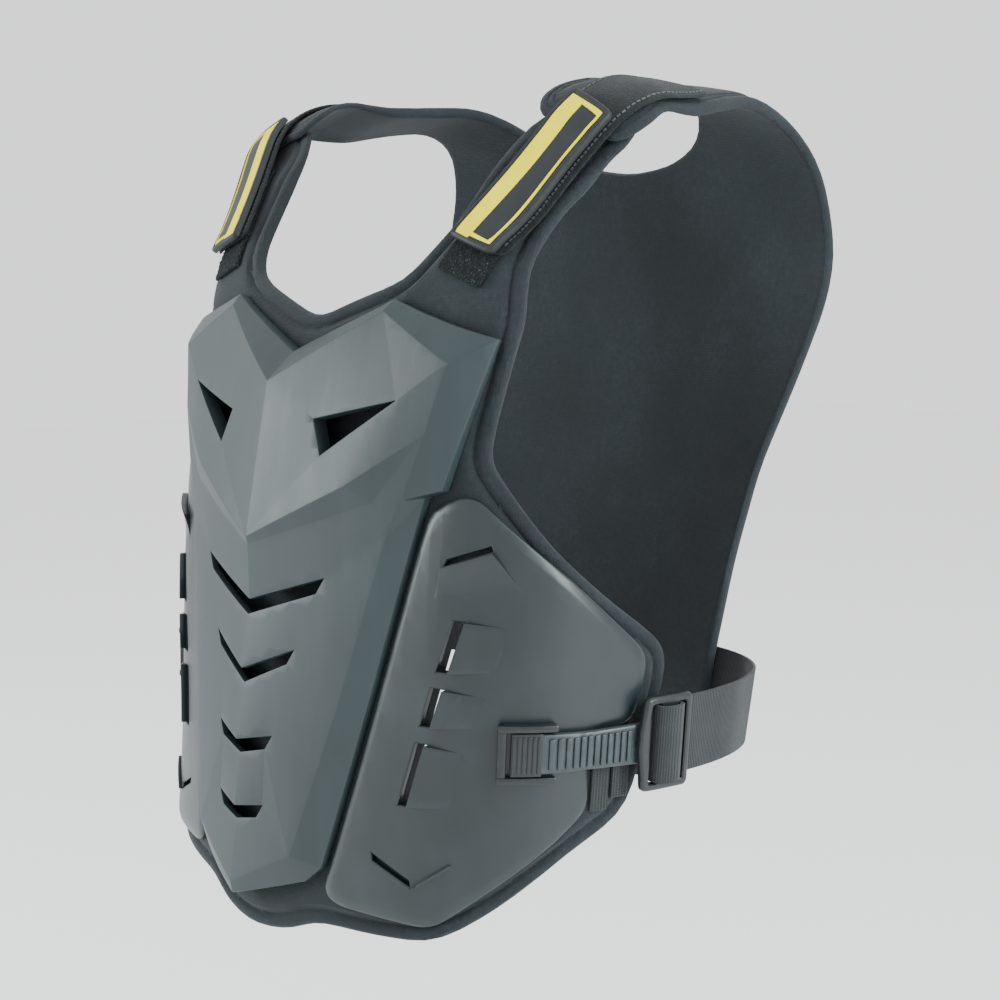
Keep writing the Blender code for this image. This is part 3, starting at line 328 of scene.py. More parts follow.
def flank_surface(u, t):
    """The way of the elastic strap: on the front form, round the flank in one curve, onto the back form"""
    h = 0.0005
    on_front = surface(np.minimum(u, FLANK_START), t)
    share = np.clip((u - FLANK_START) / FLANK_SPAN, 0, 1)[..., None]
    start = surface(np.full_like(u, FLANK_START), t)
    lead_in = (start - surface(np.full_like(u, FLANK_START - h), t)) / h
    back_t = back_place(start[..., 2])
    edge = np.full_like(u, SEAT_IN + ELASTIC_SEAT)
    end = surface(edge, back_t)
    lead_out = (surface(edge - h, back_t) - end) / h
    reach = np.linalg.norm(end - start, axis=-1, keepdims=True) * 0.42
    a, b, c, d = start, start + lead_in * reach, end - lead_out * reach, end
    keep = 1 - share
    curve = a * keep**3 + 3 * b * keep**2 * share + 3 * c * keep * share**2 + d * share**3
    past = np.clip(u - FLANK_START - FLANK_SPAN, 0, None)
    on_back = surface(edge - past, back_t)
    u, past = u[..., None], past[..., None]
    return np.where(u <= FLANK_START, on_front, np.where(past > 0, on_back, curve))


def on_flank(u, t, w):
    return offset(flank_surface, u, t, w)


def front_press(t):
    """Share of its thickness that the front panel keeps: its strap ends are pressed thin"""
    return 1 - (1 - PRESS) * smooth(t, LOBE_START - PRESS_RAMP, LOBE_START)


def back_press(t):
    """Share of its thickness that the back panel keeps: its lobes are pressed thin"""
    return PRESS + (1 - PRESS) * smooth(t, LAP_END, LAP_END + LAP_RAMP)


def lap(t):
    """Height of the back panel's underside: on the front panel at the shoulder, on the body behind it"""
    return (FOAM * PRESS + GAP) * (1 - smooth(t, LAP_END, LAP_END + LAP_RAMP))


def on_chest(u, t, w):
    return on_body(u, t, w * front_press(t))


def on_strap(u, t, w):
    """Heights from the upper side of the front panel"""
    return on_body(u, t, w + FOAM * front_press(t) + GAP)


def lapped(u, t, w):
    return on_body(u, t, w * back_press(t) + lap(t))


def closure_height(t):
    """Height of the tab's underside: on the hook pad in front, then on the back panel"""
    on_back = lap(t) + FOAM * back_press(t) + 2 * GAP
    return TAB_SEAT + (on_back - TAB_SEAT) * smooth(t, LOBE_START - CLIMB, LOBE_START)


def on_closure(u, t, w):
    return on_body(u, t, w + closure_height(t))


def lay(bm, form, mirrored=False, step=BROAD):
    """Cuts a flat pattern into short stretches, keeps its pattern places as UVs and lays it on the form"""
    bmesh.ops.connect_verts_concave(bm, faces=bm.faces[:])
    for axis in (0, 1):
        places = [vert.co[axis] for vert in bm.verts]
        first, last = math.ceil(min(places) / step), math.floor(max(places) / step)
        normal = Vector((1, 0, 0) if axis == 0 else (0, 1, 0))
        for i in range(first, last + 1):
            bmesh.ops.bisect_plane(bm, geom=bm.verts[:] + bm.edges[:] + bm.faces[:], dist=2e-5,
                                   plane_co=normal * (i * step), plane_no=normal)
    weave = bm.loops.layers.uv.new("weave")
    for face in bm.faces:
        for loop in face.loops:
            u, t, w = loop.vert.co
            loop[weave].uv = (u + w, t + w)
    places = np.array([vert.co[:] for vert in bm.verts])
    laid = form(places[:, 0], places[:, 1], places[:, 2])
    side = -1 if mirrored else 1
    for vert, (x, y, z) in zip(bm.verts, laid):
        vert.co = (side * x, y, z)
    bmesh.ops.remove_doubles(bm, verts=bm.verts[:], dist=1e-5)
    bmesh.ops.recalc_face_normals(bm, faces=bm.faces[:])
    return bm


def signed_area(points):
    return sum(a[0] * b[1] - b[0] * a[1] for a, b in zip(points, points[1:] + points[:1])) / 2


def inset(points, distance):
    """The outline moved inwards by an even distance, less the short edges that this would turn over"""
    turn = 1 if signed_area(points) > 0 else -1
    points = [Vector(point) for point in points]
    while True:
        moved = []
        for before, here, after in zip(points[-1:] + points[:-1], points, points[1:] + points[:1]):
            first, second = here - before, after - here
            normals = [Vector((-edge.y, edge.x)).normalized() * turn for edge in (first, second)]
            mitre = (normals[0] + normals[1]) / max(1 + normals[0].dot(normals[1]), 0.3)
            moved.append(here + mitre * distance)
        count = len(points)
        turned = [i for i in range(count)
                  if (moved[(i + 1) % count] - moved[i]).dot(points[(i + 1) % count] - points[i]) <= 0]
        if not turned:
            return [tuple(point) for point in moved]
        first = turned[0]
        second = (first + 1) % count
        points[first] = (points[first] + points[second]) / 2
        del points[second]


def rounded(points, radius, steps=4):
    """The outline with each corner drawn as a curve that starts up to one radius before it"""
    curve = []
    points = [Vector(point) for point in points]
    for before, here, after in zip(points[-1:] + points[:-1], points, points[1:] + points[:1]):
        back, on = before - here, after - here
        start = here + back.normalized() * min(radius, back.length * 0.47)
        end = here + on.normalized() * min(radius, on.length * 0.47)
        for i in range(steps + 1):
            f = i / steps
            curve.append(tuple(start * (1 - f)**2 + here * 2 * f * (1 - f) + end * f**2))
    return curve


def both_halves(half):
    """Closes a half outline that starts and ends on the centre line with its mirror image"""
    return list(half) + [(-u, t) for u, t in reversed(half[1:-1])]


def front_points(rows):
    return [(across * HALF, -down * DROP) for across, down in rows]


def back_points(rows):
    return [(across * BACK_HALF, along * BACK_DROP) for across, along in rows]


def panel(outline, edge, seat=0.0, holes=()):
    """A flat solid whose rim follows the rows of an edge table, with straight holes"""
    bm = bmesh.new()
    top = bm.verts.layers.float.new("top")
    base = bm.verts.layers.float.new("base")
    drawn = [(inset(outline, row[0]), row[1], row[2]) for row in edge]
    thick = edge[-1][1]
    lip = 0.0006
    openings = []
    for points in holes:
        openings += [(inset(points, -lip), thick, 0.0), (points, thick - lip, 0.0)]
    rings = []
    for points, height, floor in drawn + openings:
        ring = [bm.verts.new((u, t, 0)) for u, t in points]
        for vert in ring:
            vert[top], vert[base] = seat + height, seat + floor
        rings.append([bm.edges.new(pair) for pair in zip(ring, ring[1:] + ring[:1])])
    rims, mouths = rings[:len(drawn)], rings[len(drawn):]
    for outer, inner in list(zip(rims, rims[1:])) + list(zip(mouths[::2], mouths[1::2])):
        bmesh.ops.triangle_fill(bm, edges=outer + inner, use_beauty=True)
    inside = rims[-1] + [edge for ring in mouths[::2] for edge in ring]
    bmesh.ops.triangle_fill(bm, edges=inside, use_beauty=True)
    raised = bmesh.ops.extrude_face_region(bm, geom=bm.faces[:])["geom"]
    upper = {vert for vert in raised if isinstance(vert, bmesh.types.BMVert)}
    for vert in bm.verts:
        vert.co.z = vert[top] if vert in upper else vert[base]
    bmesh.ops.dissolve_limit(bm, angle_limit=0.0005, verts=bm.verts[:], edges=bm.edges[:])
    bmesh.ops.recalc_face_normals(bm, faces=bm.faces[:])
    return bm


def sharp_edges(bm, degrees):
    return [edge for edge in bm.edges if len(edge.link_faces) == 2
            and edge.calc_face_angle() > math.radians(degrees)]


def bevel(bm, width, degrees=20, segments=2):
    bmesh.ops.bevel(bm, geom=sharp_edges(bm, degrees), offset=width, offset_type="OFFSET", affect="EDGES",
                    segments=segments, profile=0.5, material=-1, clamp_overlap=True)
    return bm


def hull(bm, points):
    """Adds the solid round a few corner points"""
    verts = [bm.verts.new(point) for point in points]
    made = bmesh.ops.convex_hull(bm, input=verts)
    loose = [item for item in made["geom_interior"] if isinstance(item, bmesh.types.BMVert)]
    bmesh.ops.delete(bm, geom=loose, context="VERTS")
    return bm


def lip(bm, near, far, floor, rise, width=0.0004):
    """Adds a blister that stands highest along its near edge and runs out softly at its far edge"""
    piece = bmesh.new()
    bmesh.ops.create_grid(piece, x_segments=10, y_segments=1, size=1)
    sink = 0.0008
    raised = bmesh.ops.extrude_face_region(piece, geom=piece.faces[:])["geom"]
    upper = {item for item in raised if isinstance(item, bmesh.types.BMVert)}
    for vert in piece.verts:
        out, along = (vert.co.x + 1) / 2, (vert.co.y + 1) / 2
        start = Vector(near[0]).lerp(Vector(near[1]), along)
        u, t = start.lerp(Vector(far[0]).lerp(Vector(far[1]), along), out)
        vert.co = (u, t, floor + rise * (1 - out)**2 - 0.00008 if vert in upper else floor - sink)
    bmesh.ops.recalc_face_normals(piece, faces=piece.faces[:])
    add_to(bm, bevel(piece, width, degrees=35))


def add_to(bm, piece):
    """Adds another flat solid to one that it overlaps or touches"""
    mesh = bpy.data.meshes.new("joined")
    piece.to_mesh(mesh)
    piece.free()
    bm.from_mesh(mesh)
    bpy.data.meshes.remove(mesh)


def extrusion(outline, low, high):
    """A bar whose section is an outline in u and w, from the place low to the place high along t"""
    bm = bmesh.new()
    face = bm.faces.new([bm.verts.new((u, low, w)) for u, w in outline])
    raised = bmesh.ops.extrude_face_region(bm, geom=[face])["geom"]
    for vert in raised:
        if isinstance(vert, bmesh.types.BMVert):
            vert.co.y = high
    bmesh.ops.recalc_face_normals(bm, faces=bm.faces[:])
    return bm


def block(u0, u1, t0, t1, w0, w1, width=0.0):
    bm = extrusion([(u0, w0), (u1, w0), (u1, w1), (u0, w1)], t0, t1)
    return bevel(bm, width) if width else bm


def with_wall(bm, thickness):
    """A wall of even thickness on the inner side of an open surface"""
    mesh = bpy.data.meshes.new("open_shell")
    bm.to_mesh(mesh)
    bm.free()
    helper = bpy.data.objects.new("open_shell", mesh)
    bpy.context.scene.collection.objects.link(helper)
    modifier = helper.modifiers.new("wall", "SOLIDIFY")
    modifier.thickness = thickness
    modifier.offset = -1
    modifier.use_even_offset = True
    modifier.use_quality_normals = True
    result = bmesh.new()
    depsgraph = bpy.context.evaluated_depsgraph_get()
    result.from_mesh(bpy.data.meshes.new_from_object(helper.evaluated_get(depsgraph)))
    bpy.data.objects.remove(helper)
    return result


def add_piece(name, bm, node, finish, sharp=32):
    """Makes a piece of a finished mesh, which stands for a node of the frame"""
    mesh = bpy.data.meshes.new(name)
    bm.to_mesh(mesh)
    bm.free()
    mesh.polygons.foreach_set("use_smooth", [True] * len(mesh.polygons))
    mesh.set_sharp_from_angle(angle=math.radians(sharp))
    piece = bpy.data.objects.new(name, mesh)
    piece.data.materials.append(finish)
    bpy.context.scene.collection.objects.link(piece)
    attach(piece, "root")
    if node:
        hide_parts(node)
    return piece


def linear(code):
    """Linear colour of an sRGB hex value"""
    channels = [int(code[i:i + 2], 16) / 255 for i in (1, 3, 5)]
    return (*[c / 12.92 if c <= 0.04045 else ((c + 0.055) / 1.055)**2.4 for c in channels], 1)


def new_material(name, **settings):
    """A Principled material with constant values on its sockets"""
    made = bpy.data.materials.new(name)
    made.use_nodes = True
    shader = made.node_tree.nodes["Principled BSDF"]
    for socket, value in settings.items():
        shader.inputs[socket.replace("_", " ")].default_value = value
    return made


# Scale of a noise or a wave texture whose blotches or ridges are 1 mm apart
NOISE_MM = 1000.0
WAVE_MM = 100 * math.pi


def add_node(material, kind, sockets=(), stops=(), **settings):
    """Adds a node: its settings, the value or source of each socket, and the colour stops of a ramp"""
    tree = material.node_tree
    node = tree.nodes.new("ShaderNode" + kind)
    for name, value in settings.items():
        setattr(node, name, value)
    for socket, value in dict(sockets).items():
        if isinstance(value, bpy.types.NodeSocket):
            tree.links.new(value, node.inputs[socket])
        else:
            node.inputs[socket].default_value = value
    for place, code in stops:
        points = node.color_ramp.elements
        point = points[0] if place == stops[0][0] else points.new(place)
        point.position, point.color = place, linear(code)
    if stops:
        node.color_ramp.elements.remove(node.color_ramp.elements[-1])
    return node


def join(material, **sources):
    """Leads sources to the sockets of the material's shader"""
    shader = material.node_tree.nodes["Principled BSDF"]
    for socket, source in sources.items():
        material.node_tree.links.new(source, shader.inputs[socket.replace("_", " ")])


def foam_cloth():
    """Knitted polyester bonded to pressed foam: a fine tight knit, almost black, softly fibrous, faintly dusty"""
    made = new_material("knit_polyester_bonded", Roughness=0.9, Sheen_Weight=0.06, Specular_IOR_Level=0.3)
    place = add_node(made, "TexCoord").outputs["Object"]
    pattern = add_node(made, "UVMap", uv_map="weave").outputs["UV"]
    # The real knit's 0.5 mm courses would not show, so they are drawn 1.3 mm apart
    courses = add_node(made, "TexWave", {"Vector": pattern, "Scale": WAVE_MM / 1.3, "Distortion": 1.5})
    wales = add_node(made, "TexWave", {"Vector": pattern, "Scale": WAVE_MM / 1.5, "Distortion": 1.5},
                     bands_direction="Y")
    knit = add_node(made, "Math", {0: courses.outputs["Fac"], 1: wales.outputs["Fac"]}, operation="MULTIPLY")
    blotches = add_node(made, "TexNoise", {"Vector": place, "Scale": NOISE_MM / 60, "Detail": 5.0})
    lint = add_node(made, "TexNoise", {"Vector": place, "Scale": NOISE_MM / 2.5, "Detail": 3.0, "Roughness": 0.7})
    shade = add_node(made, "Mix", {0: 0.45, 2: blotches.outputs["Fac"], 3: lint.outputs["Fac"]})
    tint = add_node(made, "ValToRGB", {0: shade.outputs[0]},
                    ((0.30, "#181E21"), (0.52, "#20262A"), (0.72, "#2B3337")))
    lumps = add_node(made, "TexNoise", {"Vector": place, "Scale": NOISE_MM / 22, "Detail": 2.0})
    dents = add_node(made, "Bump", {"Height": lumps.outputs["Fac"], "Distance": 0.0011, "Strength": 0.45})
    relief = add_node(made, "Bump", {"Height": knit.outputs[0], "Distance": 0.00022, "Strength": 0.55,
                                     "Normal": dents.outputs[0]})
    join(made, Base_Color=tint.outputs["Color"], Normal=relief.outputs["Normal"])
    return made


def shell_plastic():
    """Injection-moulded polypropylene, satin: broad soft highlights, a fine grain and faint flow marks"""
    made = new_material("polypropylene_moulded_satin", IOR=1.49, Specular_IOR_Level=0.38)
    place = add_node(made, "TexCoord").outputs["Object"]
    blotches = add_node(made, "TexNoise", {"Vector": place, "Scale": NOISE_MM / 85, "Detail": 4.0})
    grain = add_node(made, "TexNoise", {"Vector": place, "Scale": NOISE_MM / 1.2, "Detail": 2.0})
    flow = add_node(made, "Mapping", {"Vector": place, "Scale": (1.0, 1.0, 0.12)})
    streaks = add_node(made, "TexNoise", {"Vector": flow.outputs[0], "Scale": NOISE_MM / 10, "Detail": 3.0})
    shade = add_node(made, "Mix", {0: 0.35, 2: blotches.outputs["Fac"], 3: streaks.outputs["Fac"]})
    tint = add_node(made, "ValToRGB", {0: shade.outputs[0]},
                    ((0.30, "#232D2F"), (0.55, "#2A3537"), (0.80, "#323E41")))
    rough = add_node(made, "MapRange", {"Value": shade.outputs[0], "To Min": 0.32, "To Max": 0.58})
    ripple = add_node(made, "Bump", {"Height": streaks.outputs["Fac"], "Distance": 0.00035, "Strength": 0.2})
    relief = add_node(made, "Bump", {"Height": grain.outputs["Fac"], "Distance": 0.00006, "Strength": 0.5,
                                     "Normal": ripple.outputs[0]})
    join(made, Base_Color=tint.outputs["Color"], Roughness=rough.outputs["Result"], Normal=relief.outputs[0])
    return made


def wing_plastic():
    """Injection-moulded polyethylene, half gloss: darker than the shell, with smeared sink marks"""
    made = new_material("polyethylene_moulded_half_gloss", IOR=1.51)
    place = add_node(made, "TexCoord").outputs["Object"]
    blotches = add_node(made, "TexNoise", {"Vector": place, "Scale": NOISE_MM / 40, "Detail": 5.0})
    smear = add_node(made, "Mapping", {"Vector": place, "Scale": (0.6, 0.6, 0.25)})
    streaks = add_node(made, "TexNoise", {"Vector": smear.outputs[0], "Scale": NOISE_MM / 8, "Detail": 3.0})
    shade = add_node(made, "Mix", {0: 0.4, 2: blotches.outputs["Fac"], 3: streaks.outputs["Fac"]})
    tint = add_node(made, "ValToRGB", {0: shade.outputs[0]},
                    ((0.30, "#131C1F"), (0.55, "#182326"), (0.80, "#1F2C2F")))
    rough = add_node(made, "MapRange", {"Value": blotches.outputs["Fac"], "To Min": 0.26, "To Max": 0.46})
    sinks = add_node(made, "TexNoise", {"Vector": place, "Scale": NOISE_MM / 30, "Detail": 2.0})
    ripple = add_node(made, "Bump", {"Height": sinks.outputs["Fac"], "Distance": 0.0012, "Strength": 0.3})
    relief = add_node(made, "Bump", {"Height": streaks.outputs["Fac"], "Distance": 0.00012, "Strength": 0.3,
                                     "Normal": ripple.outputs[0]})
    join(made, Base_Color=tint.outputs["Color"], Roughness=rough.outputs["Result"], Normal=relief.outputs[0])
    return made


def strap_plastic():
    """Moulded acetal of the toothed straps: grey and satin, with rubbed crests"""
    made = new_material("acetal_moulded_satin", IOR=1.48)
    place = add_node(made, "TexCoord").outputs["Object"]
    rub = add_node(made, "TexNoise", {"Vector": place, "Scale": NOISE_MM / 6, "Detail": 4.0})
    grain = add_node(made, "TexNoise", {"Vector": place, "Scale": NOISE_MM / 1.4, "Detail": 2.0})
    tint = add_node(made, "ValToRGB", {0: rub.outputs["Fac"]},
                    ((0.30, "#242D30"), (0.60, "#2E393C"), (0.85, "#404D50")))
    rough = add_node(made, "MapRange", {"Value": rub.outputs["Fac"], "To Min": 0.28, "To Max": 0.5})
    relief = add_node(made, "Bump", {"Height": grain.outputs["Fac"], "Distance": 0.00008, "Strength": 0.5})
    join(made, Base_Color=tint.outputs["Color"], Roughness=rough.outputs["Result"], Normal=relief.outputs[0])
    return made


def buckle_plastic():
    """Moulded acetal of the buckles and catches: near black, half gloss, with finely scuffed faces"""
    made = new_material("acetal_moulded_black", IOR=1.48)
    place = add_node(made, "TexCoord").outputs["Object"]
    scuff = add_node(made, "TexNoise", {"Vector": place, "Scale": NOISE_MM / 3, "Detail": 5.0, "Roughness": 0.7})
    grain = add_node(made, "TexNoise", {"Vector": place, "Scale": NOISE_MM / 1.2, "Detail": 2.0})
    tint = add_node(made, "ValToRGB", {0: scuff.outputs["Fac"]},
                    ((0.30, "#15191B"), (0.60, "#1C2123"), (0.85, "#2C3335")))
    rough = add_node(made, "MapRange", {"Value": scuff.outputs["Fac"], "To Min": 0.22, "To Max": 0.42})
    relief = add_node(made, "Bump", {"Height": grain.outputs["Fac"], "Distance": 0.00006, "Strength": 0.5})
    join(made, Base_Color=tint.outputs["Color"], Roughness=rough.outputs["Result"], Normal=relief.outputs[0])
    return made


def ribbed_webbing():
    """Woven polyester elastic: cross ribs with twisted yarns between them, matte and dark"""
    made = new_material("polyester_elastic_woven", Roughness=0.82, Sheen_Weight=0.1)
    place = add_node(made, "TexCoord").outputs["Object"]
    pattern = add_node(made, "UVMap", uv_map="weave").outputs["UV"]
    ribs = add_node(made, "TexWave", {"Vector": pattern, "Scale": WAVE_MM / 1.6, "Distortion": 0.4})
    # The real yarns' 0.4 mm pitch would not show, so they are drawn 1.1 mm apart
    yarns = add_node(made, "TexWave", {"Vector": pattern, "Scale": WAVE_MM / 1.1, "Distortion": 1.0},
                     bands_direction="Y")
    weave = add_node(made, "Mix", {0: 0.35, 2: ribs.outputs["Fac"], 3: yarns.outputs["Fac"]})
    dust = add_node(made, "TexNoise", {"Vector": place, "Scale": NOISE_MM / 12, "Detail": 4.0})
    shade = add_node(made, "Mix", {0: 0.4, 2: weave.outputs[0], 3: dust.outputs["Fac"]})
    tint = add_node(made, "ValToRGB", {0: shade.outputs[0]},
                    ((0.20, "#0F1213"), (0.50, "#1A1F21"), (0.85, "#2C3336")))
    relief = add_node(made, "Bump", {"Height": weave.outputs[0], "Distance": 0.0005, "Strength": 0.8})
    join(made, Base_Color=tint.outputs["Color"], Normal=relief.outputs["Normal"])
    return made


def tab_cloth():
    """Brushed loop cloth of the shoulder tabs: short matted fibres, charcoal with grey flecks"""
    made = new_material("nylon_loop_brushed", Roughness=0.95, Sheen_Weight=0.08, Specular_IOR_Level=0.25)
    place = add_node(made, "TexCoord").outputs["Object"]
    fibres = add_node(made, "TexNoise", {"Vector": place, "Scale": NOISE_MM / 1.1, "Detail": 4.0, "Roughness": 0.75})
    naps = add_node(made, "TexNoise", {"Vector": place, "Scale": NOISE_MM / 7, "Detail": 3.0})
    shade = add_node(made, "Mix", {0: 0.3, 2: fibres.outputs["Fac"], 3: naps.outputs["Fac"]})
    tint = add_node(made, "ValToRGB", {0: shade.outputs[0]},
                    ((0.30, "#0B0D0E"), (0.50, "#141819"), (0.70, "#293033")))
    relief = add_node(made, "Bump", {"Height": fibres.outputs["Fac"], "Distance": 0.0006, "Strength": 0.8})
    join(made, Base_Color=tint.outputs["Color"], Normal=relief.outputs["Normal"])
    return made


def hook_cloth():
    """Hook tape with caught lint: black, very rough, speckled with pale fibres"""
    made = new_material("nylon_hook_tape", Roughness=0.92, Specular_IOR_Level=0.25)
    place = add_node(made, "TexCoord").outputs["Object"]
    pile = add_node(made, "TexNoise", {"Vector": place, "Scale": NOISE_MM / 0.9, "Detail": 5.0, "Roughness": 0.8})
    tint = add_node(made, "ValToRGB", {0: pile.outputs["Fac"]},
                    ((0.30, "#0A0C0D"), (0.50, "#14181A"), (0.60, "#2C3235"), (0.70, "#7A8386")))
    relief = add_node(made, "Bump", {"Height": pile.outputs["Fac"], "Distance": 0.0011})
    join(made, Base_Color=tint.outputs["Color"], Normal=relief.outputs["Normal"])
    return made


def badge_rubber():
    """Moulded soft PVC of the badges: dark grey, matte, with a dry bloom"""
    made = new_material("soft_pvc_moulded_grey", IOR=1.52, Specular_IOR_Level=0.35)
    place = add_node(made, "TexCoord").outputs["Object"]
    bloom = add_node(made, "TexNoise", {"Vector": place, "Scale": NOISE_MM / 10, "Detail": 5.0})
    grain = add_node(made, "TexNoise", {"Vector": place, "Scale": NOISE_MM / 1.2, "Detail": 2.0})
    tint = add_node(made, "ValToRGB", {0: bloom.outputs["Fac"]},
                    ((0.30, "#161A1C"), (0.60, "#1C2123"), (0.85, "#262D2F")))
    rough = add_node(made, "MapRange", {"Value": bloom.outputs["Fac"], "To Min": 0.48, "To Max": 0.66})
    relief = add_node(made, "Bump", {"Height": grain.outputs["Fac"], "Distance": 0.00008, "Strength": 0.5})
    join(made, Base_Color=tint.outputs["Color"], Roughness=rough.outputs["Result"], Normal=relief.outputs[0])
    return made


def badge_print():
    """Raised coloured PVC poured into the badge: clear yellow, faintly uneven"""
    made = new_material("soft_pvc_poured_yellow", IOR=1.52, Specular_IOR_Level=0.15)
    place = add_node(made, "TexCoord").outputs["Object"]
    pour = add_node(made, "TexNoise", {"Vector": place, "Scale": NOISE_MM / 12, "Detail": 4.0})
    grain = add_node(made, "TexNoise", {"Vector": place, "Scale": NOISE_MM / 1.5, "Detail": 2.0})
    tint = add_node(made, "ValToRGB", {0: pour.outputs["Fac"]},
                    ((0.30, "#E6DA00"), (0.60, "#F0E400"), (0.85, "#F8EE08")))
    rough = add_node(made, "MapRange", {"Value": pour.outputs["Fac"], "To Min": 0.45, "To Max": 0.6})
    relief = add_node(made, "Bump", {"Height": grain.outputs["Fac"], "Distance": 0.00008, "Strength": 0.5})
    join(made, Base_Color=tint.outputs["Color"], Roughness=rough.outputs["Result"], Normal=relief.outputs[0])
    return made


def sewing_thread():
    """Bonded nylon thread: grey, slightly glossy, twisted"""
    made = new_material("nylon_thread_bonded", Roughness=0.55)
    place = add_node(made, "TexCoord").outputs["Object"]
    twist = add_node(made, "TexNoise", {"Vector": place, "Scale": NOISE_MM / 1.2, "Detail": 2.0})
    tint = add_node(made, "ValToRGB", {0: twist.outputs["Fac"]},
                    ((0.30, "#2C3234"), (0.50, "#3C4345"), (0.70, "#565E61")))
    relief = add_node(made, "Bump", {"Height": twist.outputs["Fac"], "Distance": 0.0002})
    join(made, Base_Color=tint.outputs["Color"], Normal=relief.outputs["Normal"])
    return made


def front_panel():
    outline = rounded(both_halves(front_points(FRONT_OUTLINE)), 0.014, 3)
    holes = []
    for top, low in GRILLE:
        slot = grille_slot(top, low, spread=0.001)
        holes += [slot, [(-u, t) for u, t in slot]]
    bm = lay(panel(outline, PRESSED_EDGE, holes=holes), on_chest)
    add_piece("front_pad", bm, "front_foam", FOAM_CLOTH)


def back_panel():
    outline = rounded(both_halves(back_points(BACK_OUTLINE)), 0.014, 3)
    bm = lay(panel(outline, LAYERED_EDGE), lapped)
    add_piece("back_pad", bm, "back_foam", FOAM_CLOTH)


def back_shell():
    outline = rounded(both_halves(back_points(BACK_PLATE_OUTLINE)), 0.020, 4)
    step = 0.012
    rows = ROLLED_EDGE + ((step, SIDE_WALL, 0.0), (step + 0.0015, SIDE_WALL + 0.0004, 0.0),
                          (step + 0.0030, SIDE_WALL + 0.0018, 0.0),
                          (step + 0.0048, SIDE_WALL + BACK_PLATE_STEP - 0.0002, 0.0))
    bm = lay(panel(outline, rows, PLATE_SEAT), on_body)
    add_piece("back_shell", bm, "back_plate", SHELL_PLASTIC)


def plate_point(name):
    across, down, rise = PLATE_CORNERS[name]
    return (across * PLATE_HALF, -PLATE_TOP - down * PLATE_DROP,
            PLATE_SEAT + PLATE_WALL + rise * PLATE_RISE)


def seam_edge(t):
    """Inner edge of the side plate: the chest plate's side edge and the seam"""
    top, low = plate_point("hip"), plate_point("foot_side")
    share = (t - top[1]) / (low[1] - top[1])
    return top[0] + (low[0] - top[0]) * share + SEAM


def grille_slot(top_share, low_share, spread=0.0):
    """A side slot that runs parallel to the seam"""
    top, low = -top_share * DROP + spread, -low_share * DROP - spread
    near, far = GRILLE_SETBACK - spread, GRILLE_SETBACK + GRILLE_WIDTH + spread
    return [(seam_edge(top) + near, top), (seam_edge(low) + near, low),
            (seam_edge(low) + far, low), (seam_edge(top) + far, top)]


def slot_corners():
    """Corners of the chevron slots on one half: ridge above, tip above, tip below, ridge below"""
    base = PLATE_SEAT + PLATE_WALL
    for span, outer_down, ridge_down, above, below, outer_rise, height in CHEVRONS:
        reach, tall = span * PLATE_HALF, height * SLOT_HEIGHT
        tip = -PLATE_TOP - outer_down * PLATE_DROP
        ridge = -PLATE_TOP - ridge_down * PLATE_DROP
        yield ((0, ridge, base + above * PLATE_RISE), (reach, tip, base + outer_rise * PLATE_RISE),
               (reach - tall * 0.6, tip - tall, base + outer_rise * PLATE_RISE),
               (0, ridge - tall * 0.9, base + below * PLATE_RISE))


